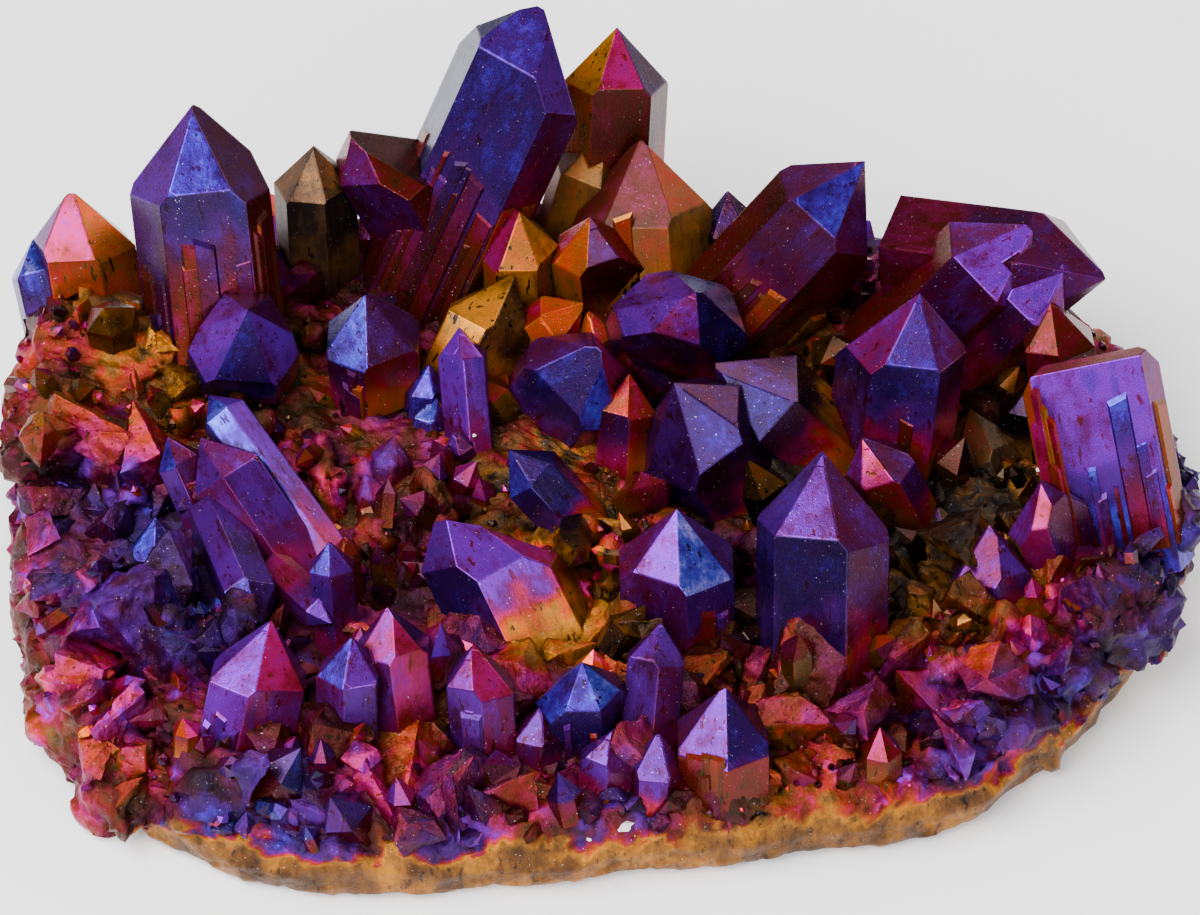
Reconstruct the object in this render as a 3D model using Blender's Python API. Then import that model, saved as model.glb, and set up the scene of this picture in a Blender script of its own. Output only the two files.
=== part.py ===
"""Aura quartz cluster: coated quartz points standing on a broken slab of matrix.

The slab lies flat on its underside. Every point is a flat-faced hexagonal prism with a six-sided end,
placed by its tip and its foot. Crystals that have grown into each other are one solid, and the small
points and lumps are one with the matrix they grew from.
"""

import math
import random
from typing import NamedTuple

import bmesh
import bpy
from mathutils import Matrix, Vector, noise
from mathutils.bvhtree import BVHTree

MM = 0.001

# The front view that places are measured in: millimetres across and down its frame.
VIEW_ELEVATION = math.radians(45)
VIEW_DISTANCE = 500.0
VIEW_MIDDLE = (60.0, 45.75)
VIEW_HEIGHT = 14.0

# Quartz: an end face leans 38.2 degrees from the crystal's axis.
END_FACE_LEAN = math.radians(38.2)
ROOT_LENGTH = 2.0
ROOT_SHARE = 0.3
GAP = 0.3
LOWEST = 1.4

# The slab of matrix.
GROUND_FRONT = 6.5
GROUND_BACK = 13.0
SLAB_FRONT_Y = -48.0
SLAB_BACK_Y = 38.0
RIM_DROP = 1.0
UNDERSIDE_INSET = 0.97
AROUND = 56
ROUGHNESS = 0.6
SMALL_POINTS = 42
MATRIX_COLOUR = (0.42, 0.2, 0.07)


class Crystal(NamedTuple):
    """A quartz point, in millimetres and degrees."""

    name: str
    tip: tuple  # across and down the front view, and height above the base
    foot: tuple  # the same, where the axis leaves the matrix
    width: float  # across the prism, flat to flat
    turn: float = 0.0  # about its own axis: 30 turns a flat side to the front
    sides: tuple = ()  # from the axis to each prism face, from the right and counterclockwise
    cuts: tuple = (0, 0, 0, 0, 0, 0)  # how far below the tip each end face starts
    broken: float = 0.0  # how far below the tip it has broken off flat


class Lump(NamedTuple):
    """A broken lump of matrix, in millimetres and degrees."""

    place: tuple  # across and down the front view, and height above the base
    size: tuple  # half its length, depth and height
    turn: float = 0.0


CRYSTALS = [
    Crystal(
        "back_tower", (54.2, 0.1, 42), (41.8, 27.4, 14), 14.7, 9,
        (7.7, 7.3, 7.3, 4.5, 3.5, 7), (0, 0, 0, 0, 1.9, 0.1),
    ),
    Crystal(
        "left_tower", (19.5, 10.1, 36), (22.1, 32.9, 14), 14.0, 34,
        (4.7, 7, 6.2, 7, 6.2, 6.7), (0, 0, 0, 0, 0, 0.9),
    ),
    Crystal("corner_point", (7.1, 18.6, 25), (8.6, 27.5, 16), 9.5, 20),
    Crystal("corner_chip", (3.3, 23.6, 19), (5.0, 31.0, 13), 5.5, 20),
    Crystal(
        "back_left_block", (35.4, 12.2, 31), (42.0, 24.0, 15), 9.0, 10,
        (9, 9, 4.5, 4, 4, 6), (2.5, 1, 0, 0, 0, 0),
    ),
    Crystal("back_pale_point", (31.2, 14.2, 28), (31.8, 25.0, 15), 7.5, 20),
    Crystal(
        "behind_tower_point", (61.7, 2.7, 35), (60.8, 20.7, 16), 9.2, 39,
        (5.2, 4.6, 4.6, 4.6, 4.1, 4.8),
    ),
    Crystal("amber_block", (63.8, 13.2, 28), (65.0, 28.5, 13), 12.5, 20),
    Crystal("amber_point", (60.3, 13.2, 26), (57.5, 22.5, 15), 7.0, 10),
    Crystal("small_dark_point", (72.7, 18.8, 22), (73.5, 27.0, 14), 6.0, 25),
    Crystal("right_back_point", (86.5, 16.1, 32), (71.4, 32.2, 13), 13.0, 10, (7.9, 6.5, 4.5, 5.3, 5, 5.9)),
    Crystal("right_ridge_back", (111.3, 28.0, 23), (95.5, 26.0, 19), 12.5, 10),
    Crystal("right_ridge_upper", (103.3, 22.4, 28), (91.5, 33.5, 13), 10.5, 0),
    Crystal("right_ridge_lower", (106.6, 26.0, 25), (97.0, 35.5, 12), 8.0, 0),
    Crystal(
        "right_mid_point", (92.0, 29.3, 29), (90.0, 44.5, 11), 13.0, 25,
        (4.4, 6.5, 7.2, 5.7, 4.6, 4.8),
    ),
    Crystal(
        "centre_back_point", (69.6, 29.0, 27), (66.9, 35.1, 13), 12.5, 17,
        (6, 4.5, 6.2, 6.3, 3.3, 6.2), (0, 0.6, 0.8, 0, 0.9, 0.7),
    ),
    Crystal("left_mid_point", (24.8, 31.0, 25), (24.2, 36.7, 12), 11.0, 29, (4.1, 5.5, 4.1, 5.7, 5, 5.5)),
    Crystal("left_mid_second", (36.7, 28.8, 24), (37.5, 38.0, 12), 9.5, 0),
    Crystal(
        "centre_blue_point", (59.8, 34.9, 23), (55.7, 40.8, 11), 9.5, -14,
        (4.8, 4.8, 4.8, 5.5, 3.5, 5.6), (0, 0, 0, 0, 1.4, 0),
    ),
    Crystal("centre_dark_point", (67.4, 38.3, 24), (74.0, 48.0, 9), 10.5, -3, (4.5, 5.2, 5.2, 7, 6.7, 5.5)),
    Crystal("centre_dark_block", (71.0, 36.2, 22), (81.0, 45.0, 10), 11.0, 0),
    Crystal(
        "right_front_spire", (82.1, 44.9, 27), (81.8, 66.9, 8), 11.0, 13,
        (5.8, 5.5, 5.5, 5.5, 5.8, 6.6), (0, 0, 0, 0.5, 0, 0),
    ),
    Crystal(
        "centre_front_point", (67.7, 50.9, 23), (67.9, 64.0, 7), 11.0, 1,
        (5.4, 5.5, 5.5, 5.7, 4.4, 5.1),
    ),
    Crystal(
        "big_front_block", (44.1, 49.7, 20), (51.3, 64.4, 7), 14.0, -10,
        (7.8, 7, 7, 4.3, 4.5, 6), (0, 3.8, 0, 0, 0, 0),
    ),
    Crystal(
        "pink_gold_point", (86.0, 43.6, 19), (90.5, 52.0, 9), 6.3, -34,
        (3.7, 3.1, 3.1, 5.6, 2.7, 3.3), (0, 0, 0, 0.4, 0.3, 0),
    ),
    Crystal(
        "right_pink_point", (103.8, 47.8, 20), (107.0, 57.8, 9), 8.0, -42,
        (1.8, 4, 4, 8, 4.1, 3.1), (0, 0, 0, 0.6, 0.5, 0),
    ),
    Crystal(
        "slim_violet_point", (45.9, 32.7, 21), (46.9, 44.1, 11), 5.0, 55,
        (2.5, 2.5, 2.3, 1.9, 2.3, 2.4),
    ),
    Crystal("gold_point", (51.8, 20.7, 25), (52.0, 30.0, 13), 7.5, 30),
    Crystal("red_orange_point", (59.0, 21.7, 25), (60.1, 30.7, 12), 9.5, -10, (6.3, 4.8, 4.8, 4.1, 3.8, 3)),
    Crystal("gold_face_block", (51.5, 27.2, 20), (47.0, 37.0, 12), 9.0, 0),
    Crystal("orange_blade", (58.6, 30.2, 19), (51.0, 35.5, 12), 5.5, 0),
    Crystal("purple_red_point", (63.0, 37.0, 19), (62.5, 46.0, 10), 5.5, 0),
    Crystal("dark_blue_lying", (50.6, 44.6, 17), (58.0, 52.5, 9), 6.0, 0),
    Crystal("long_blade", (20.8, 39.3, 18), (33.0, 56.0, 10), 4.6, 10),
    Crystal("violet_blade", (19.8, 43.5, 18), (29.0, 57.0, 9), 7.0, 0),
    Crystal("left_blade", (16.6, 43.3, 18), (21.0, 53.0, 10), 4.5, 0),
    Crystal("left_blue_point", (6.8, 46.6, 19), (8.5, 55.0, 11), 8.0, 0),
    Crystal("left_small_blue", (15.5, 51.5, 16), (15.8, 58.0, 10), 5.5, 0),
    Crystal("violet_down_point", (26.2, 62.6, 13), (22.5, 54.0, 13), 5.4, 0),
    Crystal("front_left_column", (27.0, 61.5, 19), (24.0, 76.0, 6), 9.0, 0),
    Crystal("front_left_point", (35.2, 63.7, 20), (35.5, 76.1, 6), 6.8, -13, (2.8, 3.4, 3.4, 3.2, 3, 3)),
    Crystal("magenta_blade", (38.8, 60.5, 21), (40.5, 74.5, 7), 6.5, 0),
    Crystal("rough_pink_point", (47.5, 64.0, 18), (48.5, 77.0, 6), 6.5, 0),
    Crystal("front_blue_point", (58.2, 66.2, 18), (59.1, 75.3, 6), 8.0, 26, (4.4, 4.2, 4.2, 4.2, 2.9, 2.9)),
    Crystal("front_slim_violet", (66.0, 62.0, 18), (64.5, 77.0, 6), 5.5, 0),
    Crystal("front_round_point", (72.3, 68.6, 18), (72.4, 76.2, 9), 9.0, 0),
    Crystal(
        "right_column", (108.8, 34.0, 31.2), (112.4, 52.6, 13), 13.0, 30,
        (7, 6.5, 7, 5.6, 0.3, 4.2), (-4, 0, -4, -12, -12, -8), 2.5,
    ),
    Crystal("right_brown_point", (105.2, 29.6, 24), (106.5, 40.0, 13), 7.0, 0),
    Crystal("right_dark_point", (103.3, 37.2, 18), (103.0, 45.0, 10), 6.0, 0),
    Crystal("right_low_point", (99.0, 52.0, 17), (99.5, 61.5, 8), 8.0, 0),
    Crystal("valley_amber_block", (97.0, 40.5, 14), (99.5, 46.5, 9), 7.0, 0),
    Crystal("slim_front_column", (32.9, 54.0, 19), (33.8, 65.0, 8), 4.5, 0),
]

# Small points that stand by themselves, one with the matrix.
SMALL_CRYSTALS = [
    Crystal("orange_chip", (58.8, 31.0, 18), (60.8, 36.5, 11), 4.0, 0),
    Crystal("small_orange_point", (50.5, 40.2, 15), (52.5, 45.5, 10), 4.0, 0),
    Crystal("valley_chip", (93.5, 50.0, 12), (94.5, 54.0, 8), 3.5, 0),
    Crystal("front_lying_chip", (33.3, 62.5, 13), (29.0, 58.5, 12), 3.5, 0),
    Crystal("blue_chip", (42.8, 36.2, 16), (42.6, 41.0, 11), 4.2, 20),
    Crystal("blue_chip_low", (43.6, 39.6, 14), (42.8, 44.0, 10), 3.6, 0),
    Crystal("purple_chip", (39.5, 43.4, 14), (39.0, 47.5, 10), 4.0, 10),
    Crystal("violet_bud", (45.4, 43.0, 14), (46.6, 46.0, 10), 3.0, 0),
    Crystal("pink_bud", (36.6, 47.2, 13), (37.2, 51.0, 9), 3.4, 20),
    Crystal("front_column_left", (54.0, 70.5, 13), (53.4, 77.0, 7), 4.4, 10),
    Crystal("front_column_mid", (61.5, 72.6, 13), (60.2, 79.0, 7), 5.0, 0),
    Crystal("front_column_right", (65.8, 73.2, 13), (65.6, 79.5, 7), 5.2, 20),
]

# Points of the hidden back, leaning outwards.
BACK_CRYSTALS = [
    Crystal("rear_left_point", (12.5, 22.5, 14), (17.0, 28.0, 9), 8.0, 10),
    Crystal("rear_left_tower", (25.5, 18.5, 15), (29.0, 25.0, 9), 10.0, 15),
    Crystal("rear_mid_left_point", (38.5, 18.5, 12), (40.0, 24.0, 9), 8.0, 5),
    Crystal("rear_mid_point", (50.0, 16.5, 16), (50.0, 23.0, 9), 10.0, 25),
    Crystal("rear_mid_right_point", (64.5, 19.0, 12), (62.0, 24.0, 9), 8.5, 0),
    Crystal("rear_right_point", (79.5, 21.0, 17), (76.0, 28.0, 9), 9.0, 20),
    Crystal("rear_small_right_point", (87.0, 21.5, 14), (84.0, 27.5, 8), 7.0, 5),
    Crystal("rear_ledge_point", (106.0, 30.0, 17), (103.0, 35.0, 9), 7.5, 0),
    Crystal("rear_corner_point", (4.0, 28.5, 12), (9.0, 31.0, 8), 6.5, 10),
    Crystal("rear_far_right_point", (95.0, 26.0, 14), (89.0, 31.0, 8), 9.5, 10),
]

LUMPS = [
    Lump((10.0, 34.5, 13), (9.0, 8.5, 4.6), 10),
    Lump((5.2, 43.0, 10), (4.8, 9.5, 6.6), 0),
    Lump((9.5, 62.0, 8), (5.0, 6.5, 6.5), 30),
    Lump((16.4, 63.8, 9), (4.6, 4.4, 5.0), 0),
    Lump((8.5, 71.5, 6), (4.8, 5.5, 5.5), 20),
    Lump((12.5, 76.5, 5), (5.5, 5.0, 4.6), 50),
    Lump((18.5, 73.5, 6), (4.0, 5.0, 5.0), 0),
    Lump((23.0, 79.5, 6), (5.8, 4.6, 5.2), 10),
    Lump((30.5, 80.5, 6), (5.4, 4.8, 5.0), 40),
    Lump((42.0, 79.5, 5), (6.0, 4.5, 4.0), 0),
    Lump((51.5, 80.5, 5), (5.5, 4.2, 4.2), 30),
    Lump((73.5, 79.0, 6), (5.5, 4.5, 4.0), 10),
    Lump((84.5, 66.0, 8), (7.5, 6.5, 5.2), 10),
    Lump((81.5, 75.0, 6), (5.5, 5.5, 4.6), 60),
    Lump((97.5, 70.0, 7), (7.0, 6.5, 5.0), 20),
    Lump((104.5, 66.0, 8), (7.0, 5.5, 3.8), -20),
    Lump((112.0, 61.5, 9), (6.0, 5.5, 6.0), 0),
    Lump((115.5, 50.5, 9), (4.6, 7.5, 6.0), 0),
    Lump((106.0, 61.0, 9), (4.5, 3.5, 3.6), 30),
    Lump((22.0, 29.5, 7), (6.5, 4.5, 5.5), 20),
    Lump((40.0, 27.0, 6), (7.5, 4.5, 5.0), 0),
    Lump((58.5, 25.8, 7), (6.5, 4.5, 5.5), -10),
    Lump((77.0, 27.5, 6), (7.5, 4.5, 5.0), 5),
    Lump((95.0, 31.5, 7), (7.0, 4.5, 5.5), -25),
]

# The slab's outline at its underside: across and down the front view.
OUTLINE_FRONT = [
    (2.0, 62.0), (6.0, 79.5), (11.0, 81.5), (20.5, 87.0), (29.0, 90.3), (45.0, 89.3), (60.0, 88.0),
    (75.0, 86.5), (85.0, 84.8), (93.0, 84.8), (103.0, 79.0), (114.0, 67.0), (119.0, 58.0),
]
# The same at the back: across and away from the front, from the middle.
OUTLINE_BACK = [
    (57.5, 10.0), (51.0, 26.0), (36.0, 33.0), (10.0, 37.0), (-15.0, 36.0), (-38.0, 33.0), (-54.0, 22.0),
    (-59.0, 2.0),
]


def from_view(across, down, height):
    """The point at that height which is seen at that place in the front view, in metres."""
    sine, cosine = math.sin(VIEW_ELEVATION), math.cos(VIEW_ELEVATION)
    right = (across - VIEW_MIDDLE[0]) / VIEW_DISTANCE
    up = (VIEW_MIDDLE[1] - down) / VIEW_DISTANCE
    eye = Vector((0, -VIEW_DISTANCE * cosine, VIEW_HEIGHT + VIEW_DISTANCE * sine))
    ray = Vector((right, up * sine + cosine, up * cosine - sine))
    return (eye + ray * ((height - eye.z) / ray.z)) * MM


def ground(x, y):
    """The height of the slab's top at a place, in metres."""
    back = (y / MM - SLAB_FRONT_Y) / (SLAB_BACK_Y - SLAB_FRONT_Y)
    height = GROUND_FRONT + (GROUND_BACK - GROUND_FRONT) * min(max(back, 0), 1)
    left = math.hypot(x / MM + 50, y / MM - 12) / 15
    right = math.hypot(x / MM - 54, y / MM + 6) / 14
    height += 3.0 * math.exp(-left * left) + 1.5 * math.exp(-right * right)
    bumps = noise.noise(Vector((x, y, 0)) / (9 * MM)) + 0.5 * noise.noise(Vector((x, y, 3)) / (4 * MM))
    return (height + 1.1 * bumps) * MM


def outline():
    """The slab's outline as a distance from the middle for each of its directions, in metres."""
    places = [from_view(across, down, 0).xy for across, down in OUTLINE_FRONT]
    places += [Vector(place) * MM for place in OUTLINE_BACK]
    distances = []
    for number in range(AROUND):
        angle = 2 * math.pi * number / AROUND
        way = Vector((math.cos(angle), math.sin(angle)))
        best = 0
        for start, end in zip(places, places[1:] + places[:1]):
            edge = end - start
            turned = way.x * edge.y - way.y * edge.x
            if abs(turned) < 1e-12:
                continue
            along = (start.x * edge.y - start.y * edge.x) / turned
            share = (start.x * way.y - start.y * way.x) / turned
            if along > 0 and -1e-9 <= share <= 1 + 1e-9:
                best = max(best, along)
        distances.append(best)
    smooth = []
    for number, distance in enumerate(distances):
        pair = distances[number - 1] + distances[(number + 1) % AROUND]
        wave = noise.noise(Vector((number * 0.55, 7, 0))) + 0.6 * noise.noise(Vector((number * 1.4, 3, 0)))
        smooth.append(0.5 * distance + 0.25 * pair + 0.9 * wave * MM)
    return smooth


def slab_mesh(grown=0.0):
    """The slab of matrix, or the same made larger all round by a margin in millimetres."""
    mesh = bmesh.new()
    edge = outline()
    rows = []
    shares = (UNDERSIDE_INSET, 1.0, 1.008, 0.985, 0.92, 0.78, 0.6, 0.4, 0.2)
    for row, share in enumerate(shares):
        ring = []
        for number in range(AROUND):
            angle = 2 * math.pi * number / AROUND
            reach = edge[number] * share
            x, y = reach * math.cos(angle), reach * math.sin(angle)
            rim = ground(x, y) - RIM_DROP * MM
            height = (0, 0.22 * rim, 0.62 * rim, rim)[row] if row < 4 else ground(x, y)
            rough = ROUGHNESS * MM * noise.noise(Vector((x, y, height)) / (5 * MM)) if row else 0
            outward = Vector((math.cos(angle), math.sin(angle), 0.5 if row > 2 else 0)) * rough
            ring.append(mesh.verts.new(Vector((x, y, height)) + (outward if row > 0 else Vector())))
        rows.append(ring)
    for lower, upper in zip(rows, rows[1:]):
        for number in range(AROUND):
            following = (number + 1) % AROUND
            mesh.faces.new((lower[number], lower[following], upper[following], upper[number]))
    top = mesh.verts.new((0, 0, ground(0, 0)))
    for number in range(AROUND):
        mesh.faces.new((rows[-1][number], rows[-1][(number + 1) % AROUND], top))
    mesh.faces.new(reversed(rows[0]))
    bmesh.ops.triangulate(mesh, faces=[face for face in mesh.faces if len(face.verts) == 4])
    bmesh.ops.recalc_face_normals(mesh, faces=mesh.faces)
    if grown:
        mesh.normal_update()
        moves = [(vertex, vertex.normal * vertex.calc_shell_factor() * grown * MM) for vertex in mesh.verts]
        for vertex, move in moves:
            vertex.co += move
    return mesh


def cut(mesh, point, normal):
    """Cuts away what lies beyond a plane and closes the cut with one flat face."""
    geometry = mesh.verts[:] + mesh.edges[:] + mesh.faces[:]
    made = bmesh.ops.bisect_plane(
        mesh, geom=geometry, dist=1e-7, plane_co=point, plane_no=normal, clear_outer=True
    )
    rim = [item for item in made["geom_cut"] if isinstance(item, bmesh.types.BMEdge)]
    if rim:
        bmesh.ops.contextual_create(mesh, geom=rim)


def cut_low(mesh):
    """Cuts away what would come through the slab's underside."""
    if any(vertex.co.z < LOWEST * MM for vertex in mesh.verts):
        cut(mesh, Vector((0, 0, LOWEST * MM)), Vector((0, 0, -1)))


def crystal_mesh(crystal, grown=0.0):
    """The closed solid of one quartz point, in its place, or the same made larger by a margin."""
    tip, foot = from_view(*crystal.tip), from_view(*crystal.foot)
    axis = (tip - foot).normalized()
    side = Vector((1, 0, 0)) - axis * axis.x
    side.normalize()
    depth = axis.cross(side)
    length = (tip - foot).length
    root = (ROOT_LENGTH + ROOT_SHARE * crystal.width) * MM
    mesh = bmesh.new()
    bmesh.ops.create_cube(mesh, size=1)
    turn_to_axis = Matrix((side, depth, axis)).transposed().to_4x4()
    middle = foot + axis * (length - root) / 2
    reach = length + root + crystal.width * MM
    bmesh.ops.scale(mesh, verts=mesh.verts, vec=(5 * crystal.width * MM, 5 * crystal.width * MM, reach))
    bmesh.ops.transform(mesh, matrix=Matrix.Translation(middle) @ turn_to_axis, verts=mesh.verts)
    chance = random.Random(crystal.name)
    for number in range(6):
        angle = math.radians(crystal.turn + 60 * number)
        outward = side * math.cos(angle) + depth * math.sin(angle)
        if crystal.sides:
            distance = crystal.sides[number]
        else:
            distance = crystal.width / 2 * chance.uniform(0.9, 1.08)
        cut(mesh, foot + outward * (distance + grown) * MM, outward)
    for number in range(6):
        angle = math.radians(crystal.turn + 60 * number)
        outward = side * math.cos(angle) + depth * math.sin(angle)
        normal = outward * math.cos(END_FACE_LEAN) + axis * math.sin(END_FACE_LEAN)
        start = crystal.cuts[number]
        if not crystal.sides:
            start += chance.uniform(0, 0.1) * crystal.width
        cut(mesh, tip - axis * start * MM + normal * grown * MM, normal)
    if crystal.broken:
        cut(mesh, tip + axis * (grown - crystal.broken) * MM, axis)
    cut(mesh, foot - axis * root, -axis)
    cut_low(mesh)
    bmesh.ops.recalc_face_normals(mesh, faces=mesh.faces)
    return mesh


def lump_mesh(lump, grown=0.0):
    """The closed solid of one broken lump with flat faces."""
    mesh = bmesh.new()
    bmesh.ops.create_cube(mesh, size=2)
    chance = random.Random(str(lump.place))
    for _ in range(16):
        way = Vector([chance.gauss(0, 1) for _ in range(3)]).normalized()
        cut(mesh, way * chance.uniform(0.72, 0.95), way)
    size = Vector(lump.size) + Vector((grown, grown, grown))
    bmesh.ops.scale(mesh, verts=mesh.verts, vec=size * MM)
    place = Matrix.Translation(from_view(*lump.place)) @ Matrix.Rotation(math.radians(lump.turn), 4, "Z")
    bmesh.ops.transform(mesh, matrix=place, verts=mesh.verts)
    cut_low(mesh)
    bmesh.ops.recalc_face_normals(mesh, faces=mesh.faces)
    return mesh


def add_object(name, mesh):
    """Puts a solid into the scene as a named object."""
    data = bpy.data.meshes.new(name)
    mesh.to_mesh(data)
    mesh.free()
    thing = bpy.data.objects.new(name, data)
    bpy.context.scene.collection.objects.link(thing)
    return thing


def combine(thing, others, operation):
    """Joins solids to an object, or cuts them out of it, and removes them."""
    for other in others:
        step = thing.modifiers.new("join", "BOOLEAN")
        step.operation = operation
        step.solver = "EXACT"
        step.object = other
        other.hide_render = True
        other.display_type = "WIRE"
    bpy.context.view_layer.update()
    scene = bpy.context.evaluated_depsgraph_get()
    data = bpy.data.meshes.new_from_object(thing.evaluated_get(scene))
    thing.modifiers.clear()
    thing.data = data


def tidy(thing):
    """Leaves one closed solid without slivers."""
    mesh = bmesh.new()
    mesh.from_mesh(thing.data)
    bmesh.ops.dissolve_limit(mesh, angle_limit=math.radians(0.5), verts=mesh.verts, edges=mesh.edges)
    bmesh.ops.triangulate(mesh, faces=mesh.faces)
    pieces = shells(mesh)
    for piece in pieces[1:]:
        bmesh.ops.delete(mesh, geom=piece, context="VERTS")
    bmesh.ops.recalc_face_normals(mesh, faces=mesh.faces)
    mesh.to_mesh(thing.data)
    mesh.free()


def shells(mesh):
    """The vertices of each separate shell, the largest first."""
    left = set(mesh.verts)
    found = []
    while left:
        start = left.pop()
        shell, edge = [start], [start]
        while edge:
            vertex = edge.pop()
            for link in vertex.link_edges:
                other = link.other_vert(vertex)
                if other in left:
                    left.remove(other)
                    shell.append(other)
                    edge.append(other)
        found.append(shell)
    return sorted(found, key=len, reverse=True)


def axis_places(crystal):
    """Places along a crystal's axis, in millimetres."""
    tip, foot = from_view(*crystal.tip) / MM, from_view(*crystal.foot) / MM
    return [tip.lerp(foot, step / 6) for step in range(7)]


def breadth(crystal):
    """The breadth of a crystal, twice its longest side distance, in millimetres."""
    return max((crystal.width, *(2 * side for side in crystal.sides)))


def apart(places, width, others):
    """The least distance between the sides of a crystal and those of others, in millimetres."""
    least = 1e9
    for far_places, far_width in others:
        room = (width + far_width) / 2
        if (places[0] - far_places[0]).length > 45 + room:
            continue
        for place in places:
            for far_place in far_places:
                least = min(least, (place - far_place).length - room)
    return least


def scattered_points():
    """Small points between the large ones, which touch none of them."""
    chance = random.Random(12)
    large = [(axis_places(crystal), breadth(crystal)) for crystal in CRYSTALS + BACK_CRYSTALS]
    small = [(axis_places(crystal), crystal.width) for crystal in SMALL_CRYSTALS]
    kept = []
    for number in range(9000):
        across, down = chance.uniform(4, 116), chance.uniform(16, 82)
        height = chance.uniform(11, 16)
        width = chance.uniform(2.2, 4.2)
        lean = (chance.uniform(-2.5, 2.5), chance.uniform(-1.5, 2.5))
        turn = chance.uniform(0, 60)
        tip = (across, down, height)
        place = from_view(*tip)
        base = ground(place.x, place.y) / MM
        if not 3 < height - base < 7:
            continue
        foot = (across + lean[0], down + (height - base) * 0.7 + lean[1], base)
        below = from_view(*foot)
        if math.hypot(below.x / 52, below.y / 36) > MM:
            continue
        point = Crystal(f"small_{number}", tip, foot, width, turn)
        places = axis_places(point)
        if apart(places, width, large) < 0.4 or apart(places, width, small) < 0.6:
            continue
        small.append((places, width))
        kept.append(point)
        if len(kept) == SMALL_POINTS:
            break
    return kept


def matrix_solid(name, grown=0.0):
    """The slab with its lumps, as one solid."""
    slab = add_object(name, slab_mesh(grown))
    others = [add_object("lump", lump_mesh(lump, grown)) for lump in LUMPS]
    combine(slab, others, "UNION")
    for other in others:
        bpy.data.objects.remove(other)
    return slab


def join_points(matrix, points):
    """Grows points out of the matrix."""
    others = [add_object("point", crystal_mesh(point)) for point in points]
    combine(matrix, others, "UNION")
    for other in others:
        bpy.data.objects.remove(other)


def paint(thing, colour, roughness):
    """Gives an object its own plain material."""
    material = bpy.data.materials.new(thing.name)
    material.use_nodes = True
    shader = material.node_tree.nodes["Principled BSDF"]
    shader.inputs["Base Color"].default_value = (*colour, 1)
    shader.inputs["Roughness"].default_value = roughness
    thing.data.materials.clear()
    thing.data.materials.append(material)


def touching(crystals, raised):
    """The crystals in groups that run into each other above the matrix."""
    trees = []
    for crystal in crystals:
        thing = add_object("part_above", crystal_mesh(crystal, GAP / 2))
        combine(thing, [raised], "DIFFERENCE")
        mesh = bmesh.new()
        mesh.from_mesh(thing.data)
        trees.append(BVHTree.FromBMesh(mesh, epsilon=0.01 * MM))
        mesh.free()
        bpy.data.objects.remove(thing)
    groups = [[crystal] for crystal in crystals]
    for first in range(len(crystals)):
        for second in range(first):
            if trees[first].overlap(trees[second]):
                one = next(group for group in groups if crystals[first] in group)
                two = next(group for group in groups if crystals[second] in group)
                if one is not two:
                    one += two
                    groups.remove(two)
    return groups


def centre():
    """Moves everything so that the origin is at the middle of the base."""
    places = [vertex.co for thing in bpy.data.objects for vertex in thing.data.vertices]
    low = Vector(min(place[axis] for place in places) for axis in range(3))
    high = Vector(max(place[axis] for place in places) for axis in range(3))
    middle = Vector(((low.x + high.x) / 2, (low.y + high.y) / 2, low.z))
    for thing in bpy.data.objects:
        thing.data.transform(Matrix.Translation(-middle))


def main():
    """Builds the cluster."""
    for old in list(bpy.data.objects):
        bpy.data.objects.remove(old)
    matrix = matrix_solid("matrix")
    raised = matrix_solid("raised", GAP)
    large = CRYSTALS + BACK_CRYSTALS
    loose = []
    for group in touching(large + SMALL_CRYSTALS + scattered_points(), raised):
        if not any(crystal in large for crystal in group):
            loose += group
            continue
        group.sort(key=lambda crystal: -crystal.width)
        things = [add_object(crystal.name, crystal_mesh(crystal)) for crystal in group]
        combine(things[0], things[1:], "UNION")
        combine(things[0], [raised], "DIFFERENCE")
        for other in things[1:]:
            bpy.data.objects.remove(other)
        tidy(things[0])
        if len(group) > 1:
            things[0].name = f"{group[0].name}_group"
        tone = random.Random(group[0].name)
        colour = (tone.uniform(0.12, 0.3), tone.uniform(0.03, 0.1), tone.uniform(0.5, 0.75))
        paint(things[0], colour, 0.25)
    bpy.data.objects.remove(raised)
    join_points(matrix, loose)
    tidy(matrix)
    paint(matrix, MATRIX_COLOUR, 0.75)
    centre()


if __name__ == "__main__":
    main()
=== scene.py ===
"""Aura quartz cluster as the photo shows it: coated quartz points on a slab of grainy matrix."""

import math
import random

import bmesh
import bpy
import numpy as np
from mathutils import Matrix, Vector, noise
from mathutils.bvhtree import BVHTree
from mathutils.kdtree import KDTree


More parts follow.
